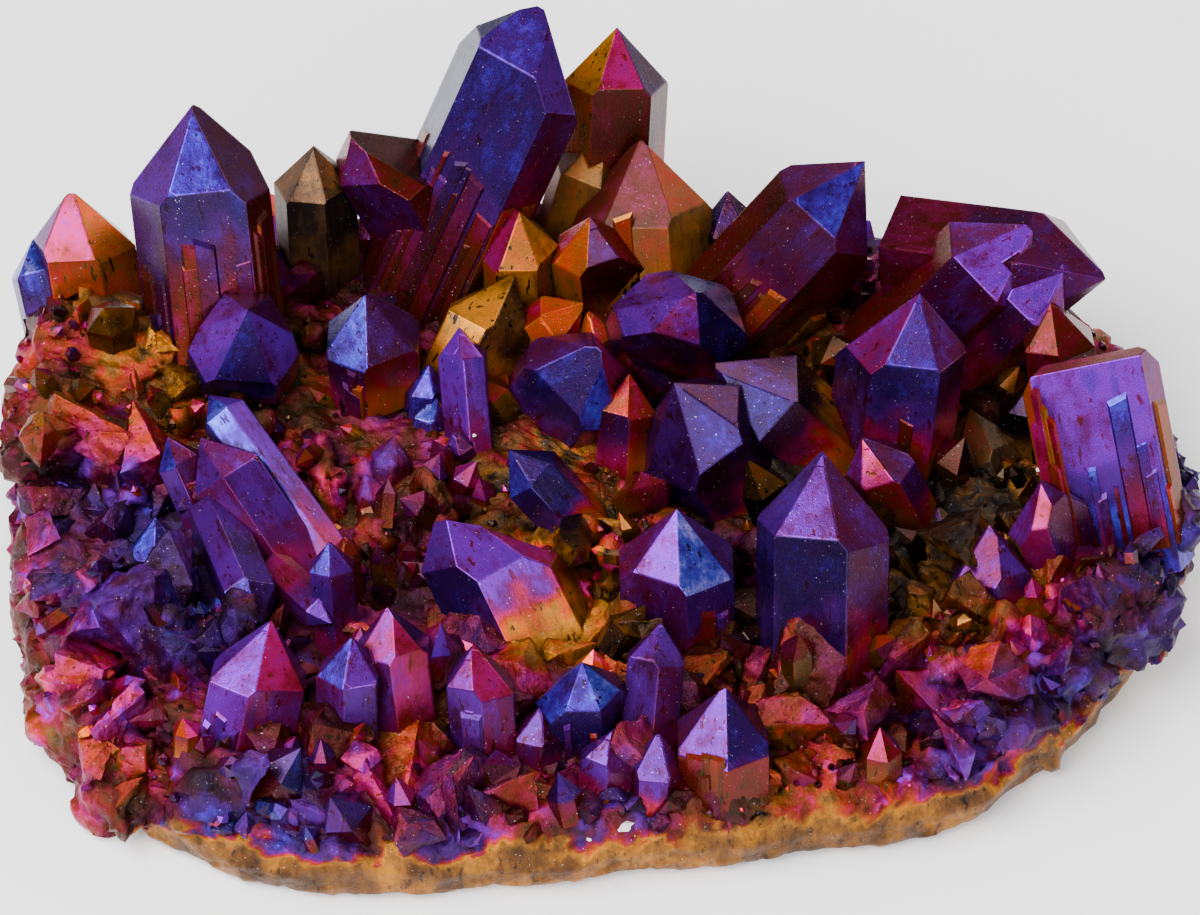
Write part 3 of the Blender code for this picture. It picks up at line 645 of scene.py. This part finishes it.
def coated(name, metallic, roughness, bump, streak=0.06, fleck=0.03, patch=0.06, pits=0.5, clear=0.0):
    """Quartz under a thin metal coating, coloured by the coating's thickness."""
    new = Shading(name)
    keys = ("film", "value", "edge")
    film, value, edge = (new.add("Attribute", "Fac", attribute_name=key) for key in keys)
    grain = new.add("Attribute", "Vector", attribute_name="grain")

    def cloud(stretch, detail, rough):
        """Noise that is stretched along the crystal's axis."""
        where = new.add("Mapping", "Vector", Vector=grain, Scale=stretch)
        return new.add("TexNoise", "Fac", Vector=where, Scale=1.0, Detail=detail, Roughness=rough)

    streaks = cloud((0.75, 0.75, 0.16), 5.0, 0.62)
    mottle = cloud((1.9, 1.9, 1.3), 4.0, 0.6)
    broad = cloud((0.24, 0.24, 0.2), 2.0, 0.5)
    fine = cloud((8.0, 8.0, 6.0), 3.0, 0.7)
    holes = cloud((1.6, 1.6, 0.55), 2.0, 0.5)
    specks = cloud((6.0, 6.0, 6.0), 0.0, 0.5)

    # The thickness changes along streaks, in patches and in pits, and less where it is thin.
    change = new.span(streaks, USUAL, (-streak, streak))
    for source, most in ((mottle, fleck), (fine, 0.015), (broad, patch)):
        change = new.math("ADD", change, new.span(source, USUAL, (-most, most)))
    thick = new.math("MULTIPLY_ADD", change, new.span(film, (0.1, 0.3), (0.25, 1.0)), film)
    pit = new.span(holes, (0.64, 0.68), (0.0, pits))
    thick = new.math("SUBTRACT", thick, new.math("MULTIPLY", pit, 0.3))

    # The brightness changes with the same noises, and a painted highlight makes it a little higher along
    # edges.
    bright = value
    for source, old, share in (
        (streaks, (0.32, 0.6), (0.7, 1.12)),
        (mottle, (0.3, 0.65), (0.75, 1.15)),
        (pit, (0.0, 1.0), (1.0, -0.4)),
        (broad, (0.35, 0.6), (0.6, 1.25)),
    ):
        bright = new.math("MULTIPLY", bright, new.span(source, old, share))
    rim = new.span(edge, (0.0, 0.16), (1.0, 0.0))
    bright = new.math("MULTIPLY_ADD", new.math("MULTIPLY", rim, bright), 0.1, bright)

    colour = new.ramp(thick, FILM_COLOURS)
    dimmed = {"data_type": "RGBA", "blend_type": "MULTIPLY", "Factor": 1.0}
    colour = new.add("Mix", "Result", **dimmed, A=colour, B=bright)
    # Pale specks: dust, and painted glints.
    dust_and_glints = new.span(specks, (0.82, 0.84), (0.0, 0.5))
    colour = new.add("Mix", "Result", data_type="RGBA", Factor=dust_and_glints, A=colour, B=DUST_AND_GLINT_COLOUR)

    # Relief from the noises, and edges that look worn.
    height = new.math("MULTIPLY_ADD", mottle, 0.35, new.math("MULTIPLY", fine, 0.25))
    height = new.math("MULTIPLY_ADD", streaks, 0.9, height)
    height = new.math("SUBTRACT", height, new.math("MULTIPLY", pit, 0.5))
    relief = new.add("Bump", "Normal", Strength=bump, Distance=RELIEF, Height=height)
    worn = new.span(edge, (0.0, 0.14), (-0.35, 0.0))
    worn_relief = new.add("Bump", "Normal", Strength=0.3, Distance=RELIEF, Height=worn, Normal=relief)
    return new.finish(
        Base_Color=colour,
        Metallic=metallic,
        Roughness=new.span(fine, USUAL, (roughness * 0.65, roughness * 1.45)),
        IOR=QUARTZ_IOR,
        Specular_IOR_Level=0.3,
        Transmission_Weight=clear,
        Normal=worn_relief,
    )


glossy = coated("coated_quartz", 0.65, 0.24, 0.14, fleck=0.04)
smoky = coated("smoky_quartz", 0.45, 0.45, 0.2, streak=0.08, fleck=0.04, pits=0.2, clear=0.4)
chunky = coated("coated_chunks", 0.65, 0.32, 0.8, patch=0.12)
rocky = coated("coated_matrix", 0.6, 0.38, 1.0, patch=0.12, pits=0.15)


def face_tags(places, corners):
    """A number for the crystal and the face of it that each triangle lies on, or -1."""
    normals = unit(cross_of(places, corners))
    middles = places[corners].mean(axis=1)
    best = np.full(len(corners), PLANE_GAP)
    tags = np.full(len(corners), -1)
    for number, crystal in enumerate(crystals):
        foot, axis = crystal["foot"], crystal["axis"]
        along = (middles - foot) @ axis
        off = np.linalg.norm(middles - foot - along[:, None] * axis, axis=1)
        length = (crystal["tip"] - foot) @ axis
        near = (off < crystal["width"] * 1.3) & (along < length + 1) & (along > -length)
        for index, (normal, point, _) in enumerate(crystal["planes"]):
            gap = np.abs((middles - point) @ normal)
            fits = near & (normals @ normal > PLANE_COSINE) & (gap < best)
            best[fits], tags[fits] = gap[fits], number * FACES + index
    return tags


def owners(tags):
    """The crystals and their faces that tags stand for, or -1."""
    return np.where(tags >= 0, tags // FACES, -1), np.where(tags >= 0, tags % FACES, -1)


def shade(places, normals, reach, rays, cell=0.7):
    """How open each place is to the room, from 0 to 1, worked out once for each small cell."""
    keys = np.concatenate([np.round(places / cell), np.round(normals * 1.4)], axis=1)
    _, first, back = np.unique(keys, axis=0, return_index=True, return_inverse=True)
    chance = random.Random(3)
    ways = np.array([Vector([chance.gauss(0, 1) for _ in range(3)]).normalized() for _ in range(rays)])
    opened = np.zeros(len(first))
    for number, index in enumerate(first):
        place, normal = places[index], normals[index]
        start = Vector(place + normal * 0.08)
        sides = ways * np.where(ways @ normal > 0, 1, -1)[:, None]
        weights = 0.25 + np.maximum(sides[:, 2], 0)
        hit = [tree.ray_cast(start, Vector(way), reach)[0] is None for way in sides]
        opened[number] = weights @ hit / weights.sum()
    return opened[back.reshape(-1)]


def facets(places, size, seed):
    """A height from -1 to 1 and a tone for each place, flat within cells, as on broken crystal."""
    chance = np.random.default_rng(seed)
    ends = zip(places.min(axis=0) - size, places.max(axis=0) + size)
    steps = [np.arange(low, high, size) for low, high in ends]
    grid = np.stack(np.meshgrid(*steps, indexing="ij"), axis=-1).reshape(-1, 3)
    seeds = grid + chance.uniform(-0.45, 0.45, grid.shape) * size
    finder = finder_of(seeds)
    own = np.array([finder.find(place)[1] for place in places])
    lean = chance.normal(0, 0.75, seeds.shape)
    lift = chance.uniform(-0.5, 0.5, len(seeds))
    tone = chance.normal(0, 1, len(seeds))
    height = lift[own] + ((places - seeds[own]) * lean[own]).sum(axis=1) / size
    return np.clip(height, -1, 1), tone[own]


def crystal_looks(places, owner, face, opened):
    """Coating and brightness at places on the crystals' faces, turning into the foot's look below, with
    painted shade where closed in.
    """
    film, value = np.full(len(places), BROKEN_FILM), BROKEN_BRIGHTNESS * lit(opened)
    for number, crystal in enumerate(crystals):
        these = owner == number
        if not these.any():
            continue
        there, clear = places[these], opened[these]
        looks = np.array([plane[2] for plane in crystal["planes"]])[face[these]]
        rightward = np.array([plane[0][0] for plane in crystal["planes"]])[face[these]]
        length = np.linalg.norm(crystal["tip"] - crystal["foot"])
        share = ((there - crystal["foot"]) @ crystal["axis"]) / length
        sway = np.array([noise.noise(Vector(place / 2.5)) for place in there])
        low = (1 - smooth(0.0, crystal["glow"], share + 0.2 * sway)) * lit(smooth(-0.9, 0.3, rightward))
        foot_film, foot_value = crystal["base"]
        worn = 0.08 * (1 - smooth(0.1, 0.5, clear))
        film[these] = (looks[:, 0] - worn) * (1 - low) + foot_film * low
        # Faces keep less brightness where closed in, painted shade; feet get brighter there, painted glow of
        # light through the quartz.
        value[these] = looks[:, 1] * lit(clear) * (1 - low) + foot_value * (1.15 - 0.15 * clear) * low
    return film, value


def spot_looks(places):
    """Coating and brightness at places on the matrix, from the spots."""
    seen = to_view(places)
    total = np.full(len(places), 0.02)
    film, value = HIDDEN_FILM * total, 0.3 * total
    for across, down, radius, word in spots:
        thick, bright = look(word)
        far = np.hypot(seen[:, 0] - float(across), seen[:, 1] - float(down)) / float(radius)
        weight = np.exp(-far * far)
        film += weight * thick
        value += weight * bright
        total += weight
    hidden = smooth(18, 30, places[:, 1])
    film = film / total * (1 - hidden) + HIDDEN_FILM * hidden
    return film, value / total * (1 - hidden) + HIDDEN_BRIGHTNESS * hidden


def inside_any(places, margin):
    """Whether each place is inside one of the crystals, less a margin."""
    found = np.zeros(len(places), dtype=bool)
    for crystal in crystals:
        within = (places - crystal["foot"]) @ crystal["axis"] >= -3
        for normal, point, _ in crystal["planes"]:
            within &= (places - point) @ normal < -margin
        found |= within
    return found


def over_slab(places, reach):
    """Whether the slab is still below a place moved outwards by a reach."""
    found = []
    for (x, y), (dx, dy), far in zip(places[:, :2], unit(places[:, :2]), reach):
        above = Vector((x + dx * far, y + dy * far, 90))
        found.append(tree.ray_cast(above, Vector((0, 0, -1)))[0] is not None)
    return np.array(found)


def edge_gaps(places, corners, limit=1.0):
    """How far each place is from the border of its own flat face, up to a limit."""
    unique, counts = np.unique(edges_of(corners), axis=0, return_counts=True)
    border = unique[counts == 1]
    ends = np.concatenate([places[border[:, 0]], places[border[:, 1]], places[border].mean(axis=1)])
    finder = finder_of(ends)
    gaps = np.array([min(limit, finder.find(place)[2]) for place in places])
    gaps[np.unique(border)] = 0
    return gaps


def local_grain(places, owner):
    """Places in each crystal's own directions, for noise that runs along its axis."""
    grain = places.copy()
    for number, crystal in enumerate(crystals):
        these = owner == number
        axis = crystal["axis"]
        side = np.array((1.0, 0, 0)) - axis * axis[0]
        side /= np.linalg.norm(side)
        turn = np.stack([side, np.cross(axis, side), axis], axis=1)
        grain[these] = (places[these] - crystal["foot"]) @ turn + number * GRAIN_STEP
    return grain


def hull(mesh, points):
    """Adds the convex hull of some points to a bmesh."""
    made = bmesh.ops.convex_hull(mesh, input=[mesh.verts.new(point) for point in points])
    spare = made["geom_interior"] + made["geom_unused"]
    spare = {item for item in spare if isinstance(item, bmesh.types.BMVert)}
    bmesh.ops.delete(mesh, geom=list(spare), context="VERTS")


def coat(name):
    """A finer copy of a solid in its place, with a look of its own on each face."""
    places, corners = meshes[name]
    places, corners, tags = refine(places, corners, face_tags(places, corners), POINT_EDGE)
    places, corners, tags = apart_by_face(places, corners, tags)
    owner, face = owners(tags)
    opened = shade(places, point_normals(places, corners), 9.0, 12)
    film, value = crystal_looks(places, owner, face, opened)
    values = {"film": film, "value": value, "edge": edge_gaps(places, corners)}
    values["grain"] = local_grain(places, owner)
    clear = np.isin(owner, [number for number, crystal in enumerate(crystals) if crystal["name"] in CLEAR])
    piece = make(f"{name}_coated", places, corners, values, [glossy, smoky], clear[corners[:, 0]])
    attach(piece, "root")
    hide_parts(name)


def rim_height(seen, height):
    """How high the bare rim comes at places of the front view: it fades out at the slab's left end."""
    return height * smooth(8, 20, seen[:, 0])


def matrix_rock():
    """The slab with a broken surface, in its solid's place: its places and the triangles of bare rock."""
    places, corners = meshes["matrix"]
    places, corners, tags = refine(places, corners, face_tags(places, corners), ROCK_EDGE)
    normals = point_normals(places, corners)
    moves = np.array([noise.fractal(Vector(place / 3), 0.6, 2.1, 4) for place in places])
    rim_top = rim_height(to_view(places), RIM_HEIGHT) + 0.01
    rim = 1 - smooth(-0.8, 0.8, places[:, 2] + 1.5 * moves - rim_top)
    broad, broad_tone = facets(places, 2.8, 1)
    small, small_tone = facets(places, 1.1, 2)
    rock = places[:, 2] > 0.3
    rock[corners[tags >= 0].reshape(-1)] = False
    rough = (0.75 * broad + 0.3 * small) * (1 - 0.75 * rim) + 0.2 * moves
    places = places + normals * ((0.35 + rough) * rock)[:, None]
    places = np.clip(places, LOW, HIGH)
    wide = np.array([noise.noise(Vector(place / 5)) for place in places])
    opened = shade(places, normals, 9.0, 10)
    film, value = spot_looks(places)
    film = film + 0.1 * moves + 0.05 * broad_tone + 0.03 * small_tone
    film = film - 0.08 * (1 - smooth(0.15, 0.5, opened))
    film = film * (1 - rim) + (RIM_FILM + 0.03 * moves) * rim
    value = 0.55 * value * np.exp(0.4 * broad_tone + 0.3 * small_tone + 1.6 * wide)
    # Darker where closed in: painted shade.
    value = (value * (1 - rim) + RIM_BRIGHTNESS * rim) * lit(opened)
    place_tags = np.full(len(places), -1)
    place_tags[corners.reshape(-1)] = np.repeat(tags, 3)
    own_film, own_value = crystal_looks(places, *owners(place_tags), opened)
    own = place_tags >= 0
    values = {"film": np.where(own, own_film, film), "value": np.where(own, own_value, value)}
    piece = make("matrix_rock", places, corners, values, [rocky])
    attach(piece, "root")
    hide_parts("matrix")
    return places, corners[tags < 0]


for name in solids:
    coat(name)
rock_places, bare_rock = matrix_rock()


def upper(middle, normal):
    """Where larger druse grows: on the top, not on the walls and the left plateau."""
    seen = to_view(middle)
    plateau = (1 - smooth(14, 20, seen[:, 0]) * smooth(44, 52, seen[:, 1])) * (seen[:, 0] < 20)
    level = smooth(0.1, 0.6, normal[:, 2])
    return (1 - 0.97 * plateau) * level * smooth(5, 7, middle[:, 2])


def around(middle, normal):
    """Where fine druse grows: everywhere above the rim."""
    edge = rim_height(to_view(middle), 5.0) + 1
    return smooth(0, 1.5, middle[:, 2] - edge) * (0.3 + 0.7 * smooth(-0.4, 0.4, normal[:, 2]))


def outer(middle, _):
    """Where broken chunks lie: towards the front, left and right edges."""
    seen = to_view(middle)
    front = smooth(58, 70, seen[:, 1])
    left = (1 - smooth(14, 22, seen[:, 0])) * (0.12 + 0.88 * smooth(44, 52, seen[:, 1]))
    right = smooth(98, 108, seen[:, 0]) * smooth(45, 55, seen[:, 1])
    edge = rim_height(seen, RIM_HEIGHT) - 1
    return (0.04 + np.maximum(front, np.maximum(left, right))) * smooth(0, 1.5, middle[:, 2] - edge)


def ground(density):
    """The triangles of bare rock: their corners, normals and shares in a random choice."""
    a, b, c = (rock_places[bare_rock[:, n]] for n in range(3))
    normal = cross_of(rock_places, bare_rock)
    weight = np.linalg.norm(normal, axis=1) * density((a + b + c) / 3, unit(normal))
    return a, b, c, unit(normal), weight / weight.sum()


def thin_out(site, reach, free, count):
    """The numbers of the first free sites that keep clear of each other, up to a count."""
    kept = []
    for number in np.flatnonzero(free):
        gaps = np.linalg.norm(site[kept] - site[number], axis=1)
        if (gaps < reach[kept] + reach[number]).any():
            continue
        kept.append(number)
        if len(kept) == count:
            break
    return kept


def druse(name, count, widths, lengths, spread, seed, density, apart):
    """Small quartz points grown on the matrix."""
    chance = np.random.default_rng(seed)
    a, b, c, normal, share = ground(density)
    pick = chance.choice(len(share), count * 3, p=share)
    u, v = chance.random((2, len(pick)))
    flip = u + v > 1
    u[flip], v[flip] = 1 - u[flip], 1 - v[flip]
    site = a[pick] + (b[pick] - a[pick]) * u[:, None] + (c[pick] - a[pick]) * v[:, None]
    way = unit(normal[pick] * 0.8 + chance.normal(0, spread, (len(pick), 3)) + np.array((0, 0, 0.55)))
    width = widths[0] + (widths[1] - widths[0]) * chance.random(len(pick)) ** 1.8
    length = width * chance.uniform(*lengths, len(pick))
    top = site + way * length[:, None]
    free = ~inside_any(site + way * (0.4 * length)[:, None], -0.15 * widths[1])
    room = (width * 0.6 + 0.1)[:, None]
    free &= ((top - room > LOW) & (top + room < HIGH) & (site - room > LOW - (0, 0, 9))).all(axis=1)
    free &= over_slab(top, 0.3 * width)
    kept = thin_out(site, apart * width / 2, free, count)
    site, way, width, length, top = (values[kept] for values in (site, way, width, length, top))
    total = len(kept)
    side = unit(np.cross(way, (0.0, 1.0, 0.2)))
    depth = np.cross(way, side)
    turn = chance.uniform(0, math.pi / 3, total)
    reach = width[:, None] / 2 * chance.uniform(0.8, 1.15, (total, SIDES))
    point = chance.normal(0, 0.1, (total, 2)) * width[:, None]
    tip = top + side * point[:, :1] + depth * point[:, 1:]
    rings = []
    for at in (-0.45 * width, 0.25 * length, length - 0.62 * width):
        ring = []
        for number in range(SIDES):
            angle = turn + number * math.pi / 3
            outward = side * np.cos(angle)[:, None] + depth * np.sin(angle)[:, None]
            jog = chance.uniform(-0.05, 0.05, total) * width
            ring.append(site + way * (at + jog)[:, None] + outward * reach[:, number][:, None])
        rings.append(ring)

    film, bright = spot_looks(top)
    opened = shade(top, way, 7.0, 10)
    film = film + chance.normal(0, 0.07, total) + 0.14 * (opened - 0.45)
    # Brightness falls where closed in, painted shade, and differs at random from point to point, most for the
    # finest druse, which gives painted glints.
    tone_and_glints = np.exp(chance.normal(-0.25, 0.4 + 0.5 / widths[1], total))
    bright = 0.8 * bright * (0.3 + 0.7 * opened) * tone_and_glints
    foot_film, foot_bright = np.minimum(film - 0.2, 0.28), bright * 0.6
    places, films, brights, faces = [], [], [], []

    def add_face(outline, film_there, bright_there):
        """Adds one face to every point, given its corners in turn and the looks at them."""
        start = sum(map(len, places)) + np.arange(total) * len(outline)
        places.append(np.stack(outline, axis=1).reshape(-1, 3))
        films.append(film_there.reshape(-1))
        brights.append(bright_there.reshape(-1))
        for n in range(1, len(outline) - 1):
            faces.append(np.stack([start, start + n, start + n + 1], axis=1))

    for number in range(SIDES):
        after = (number + 1) % SIDES
        # Each side and end face gets a brightness of its own at random, painted light and shade on the
        # facets, the sides darker than the end faces.
        own_film = film + chance.normal(0, 0.07, total) - 0.05
        own_bright = bright * np.exp(chance.normal(-0.1, 0.35, total)) * 0.75
        for below, above in ((0, 1), (1, 2)):
            low, high = rings[below], rings[above]
            share = np.array([below, below, above, above]) / 2
            film_there = foot_film[:, None] * (1 - share) + own_film[:, None] * share
            bright_there = foot_bright[:, None] * (1 - share) + own_bright[:, None] * share
            add_face([low[number], low[after], high[after], high[number]], film_there, bright_there)
        own_film = film + chance.normal(0.03, 0.07, total)
        own_bright = bright * np.exp(chance.normal(0.0, 0.4, total))
        add_face([rings[2][number], rings[2][after], tip], np.repeat(own_film, 3), np.repeat(own_bright, 3))

    places = np.concatenate(places)
    values = {"film": np.clip(np.concatenate(films), 0.02, 1), "value": np.concatenate(brights)}
    piece = make(name, places, np.concatenate(faces), values, [glossy])
    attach(piece, "root")


def chunks(name, count, sizes, seed, density, apart):
    """Broken faceted chunks of coated quartz lying on the matrix."""
    chance = np.random.default_rng(seed)
    a, b, c, normal, share = ground(density)
    pick = chance.choice(len(share), count * 4, p=share)
    size = sizes[0] + (sizes[1] - sizes[0]) * chance.random(len(pick)) ** 1.7
    site = (a[pick] + b[pick] + c[pick]) / 3 + normal[pick] * (0.15 * size)[:, None]
    free = ~inside_any(site, 0.3) & over_slab(site, 0.75 * size)
    kept = thin_out(site, apart * size, free, count)
    places, corners, owner = [], [], []
    for order, number in enumerate(kept):
        total = int(chance.integers(8, 12))
        points = unit(chance.normal(0, 1, (total, 3)))
        shape = chance.uniform(0.65, 1.2, 3) * size[number]
        turn = np.array(Matrix.Rotation(chance.uniform(0, 3.14), 3, "Z"))
        chunk = bmesh.new()
        hull(chunk, np.clip((points * shape) @ turn.T + site[number], LOW, HIGH))
        bmesh.ops.recalc_face_normals(chunk, faces=chunk.faces)
        chunk.verts.index_update()
        corners += [[vertex.index + len(places) for vertex in face.verts] for face in chunk.faces]
        owner += [order] * len(chunk.faces)
        places += [np.array(vertex.co) for vertex in chunk.verts]
        chunk.free()
    places, corners, owner = np.array(places), np.array(corners), np.array(owner)
    tones = chance.normal(0, 0.03, len(corners)) + chance.normal(0, 0.05, len(kept))[owner]
    lights = np.exp(chance.normal(-0.3, 0.35, len(corners)) + chance.normal(-0.1, 0.4, len(kept))[owner])
    places, corners, tags = refine(places, corners, np.arange(len(corners)), CHUNK_EDGE)
    rough, _ = facets(places, 1.3, seed)
    places = places + point_normals(places, corners) * (0.22 * rough)[:, None]
    places = np.clip(places, LOW, HIGH)
    places, corners, tags = apart_by_face(places, corners, tags)
    opened = shade(places, point_normals(places, corners), 7.0, 8)
    film, value = spot_looks(places)
    film = film + tones[tags] + 0.12 * (np.minimum(opened, 0.6) - 0.6)
    # Brightness differs at random for each chunk, and for each face as painted light and shade on facets;
    # darker where closed in, as painted shade.
    value = value * lights[tags] * (0.2 + 0.8 * opened)
    values = {"film": np.clip(film, 0.03, 1), "value": value, "edge": edge_gaps(places, corners)}
    piece = make(name, places, corners, values, [chunky])
    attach(piece, "root")


def ribs():
    """Narrow ribs with sloping tops, parallel to the prism faces that they grow on."""
    names = [crystal["name"] for crystal in crystals]
    sink = 0.15
    profile = ((-0.5, 0), (-0.38, 1), (0.38, 1), (0.5, 0))
    # The last number of each side is how bright it is drawn, painted light and shade; every side is half as
    # bright at its foot.
    sides = ((0, 1, 5, 4, 0.8), (1, 2, 6, 5, 1.0), (2, 3, 7, 6, 0.6), (4, 5, 6, 7, 1.1))
    places, faces, films, brights, grains = [], [], [], [], []
    for line in rows(RIBS):
        name, face, total, tallest, *words = line.split()
        order, face = names.index(name), int(face)
        chance = random.Random(line)
        tip, foot, axis = (crystals[order][key] for key in ("tip", "foot", "axis"))
        planes = crystals[order]["planes"]
        length = np.linalg.norm(tip - foot)
        outward = planes[face][0]
        along = np.cross(axis, outward)
        gaps = [(point - foot) @ normal for normal, point, _ in planes]
        beside = (gaps[(face + 5) % SIDES], gaps[(face + 1) % SIDES])
        reach = [(gap - gaps[face] * 0.5) / math.sin(math.radians(60)) for gap in beside]
        for _ in range(int(total)):
            width = chance.uniform(0.5, 2.6)
            across = chance.uniform(-reach[0] + width * 0.5, max(reach[1] - width * 0.5, 0))
            thick = chance.uniform(0.06, 0.35)
            top = length * float(tallest) * chance.uniform(0.25, 1)
            start = foot + along * across + outward * (gaps[face] - sink)
            slope = thick * math.tan(END_FACE_LEAN) + 0.2
            lean = chance.uniform(-0.5, 0.5) * width
            ring = []
            for level, shift in ((-3, 0), (top, 1)):
                for side, deep in profile:
                    lift = level - shift * (deep * slope * 1.6 - lean * side)
                    place = start + along * side * width + outward * deep * (thick + sink) + axis * lift
                    ring.append(place)
            thickness, bright = look(chance.choice(words))
            bright *= chance.uniform(0.6, 1.3)
            for *outline, light in sides:
                first = len(places)
                places += [ring[index] for index in outline]
                faces += [(first, first + 1, first + 2), (first, first + 2, first + 3)]
                tone = thickness + chance.uniform(-0.05, 0.05)
                for index in outline:
                    at_top = index > 3
                    films.append(tone if at_top else min(tone, 0.3))
                    brights.append(bright * light * (1 if at_top else 0.5))
                grains += [place + order * GRAIN_STEP for place in places[first:]]
    places = np.clip(np.array(places), LOW, HIGH)
    values = {"film": films, "value": brights, "grain": grains}
    piece = make("growth_ribs", places, np.array(faces), values, [glossy])
    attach(piece, "root")


def bare_chips():
    """Small chips of bare quartz lying where the front view shows them."""
    chance = random.Random(8)
    mesh = bmesh.new()
    for line in rows(BARE_CHIPS):
        across, down, size = numbers(line)
        above, below = from_view(across, down, 60), from_view(across, down, 0)
        spot = tree.ray_cast(above, (below - above).normalized())[0]
        if spot is None:
            continue
        points = []
        for _ in range(9):
            way = Vector([chance.gauss(0, 1) for _ in range(3)]).normalized()
            way = Vector((way.x, way.y * 0.8, way.z * 0.7)) * size * 0.62
            points.append((spot + way + Vector((0, -0.2, 0.25)) * size) * MM)
        hull(mesh, points)
    data = bpy.data.meshes.new("bare_chips")
    mesh.to_mesh(data)
    mesh.free()
    new = Shading("bare_quartz")
    where = new.add("TexCoord", "Object")
    cloud = new.add("TexNoise", "Fac", Vector=where, Scale=900.0, Detail=3.0)
    colour = new.ramp(cloud, [(0.3, (0.75, 0.68, 0.5)), (0.6, (0.93, 0.91, 0.88))])
    bare = new.finish(Base_Color=colour, Roughness=0.25, IOR=QUARTZ_IOR, Transmission_Weight=0.3)
    data.materials.append(bare)
    piece = link_up("bare_chips", data)
    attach(piece, "root")


chunks("chunks_large", 110, (3.0, 6.5), 21, outer, 0.42)
chunks("chunks_small", 240, (1.0, 2.6), 22, outer, 0.45)
druse("druse_large", 70, (2.8, 5.5), (0.8, 1.4), 0.35, 5, upper, 0.75)
druse("druse_small", 200, (1.2, 2.8), (0.8, 1.6), 0.35, 6, around, 0.6)
druse("druse_fine", 600, (0.4, 1.2), (0.6, 1.4), 0.45, 7, around, 0.0)
ribs()
bare_chips()


def studio_floor():
    """A plain pale floor."""
    mesh = bpy.data.meshes.new("floor")
    mesh.from_pydata([(-3, -3, 0), (3, -3, 0), (3, 3, 0), (-3, 3, 0)], [], [(0, 1, 2, 3)])
    mesh.materials.append(Shading("floor").finish(Base_Color=(0.97, 0.97, 0.98, 1), Roughness=0.9))
    link_up("floor", mesh)


def softbox(name, place, aim, size, power):
    """An area light aimed at a place."""
    lamp = bpy.data.lights.new(name, "AREA")
    lamp.shape = "RECTANGLE"
    lamp.size, lamp.size_y = size[0] * MM, size[1] * MM
    lamp.energy = power
    thing = link_up(name, lamp)
    thing.location = Vector(place) * MM
    thing.rotation_euler = (Vector(aim) - Vector(place)).to_track_quat("-Z", "Y").to_euler()


def front_camera():
    """The camera at the photo's angle."""
    data = bpy.data.cameras.new("camera")
    data.lens = 150
    data.sensor_width = 36
    data.clip_start = 0.01
    camera = link_up("camera", data)
    camera.location = (Vector(EYE) + SHIFT) * MM
    camera.rotation_euler = (math.pi / 2 - VIEW_ELEVATION, 0, 0)
    bpy.context.scene.camera = camera


studio_floor()
softbox("key", (-260, -180, 420), (0, 0, 10), (520, 420), 8.0)
softbox("front", (120, -460, 260), (0, 0, 10), (460, 300), 3.1)
softbox("rear", (160, 330, 330), (0, 0, 15), (460, 300), 2.0)
front_camera()

world = bpy.data.worlds.new("room")
world.use_nodes = True
world.node_tree.nodes["Background"].inputs["Color"].default_value = (1.0, 0.91, 0.86, 1)
world.node_tree.nodes["Background"].inputs["Strength"].default_value = 0.24
bpy.context.scene.world = world
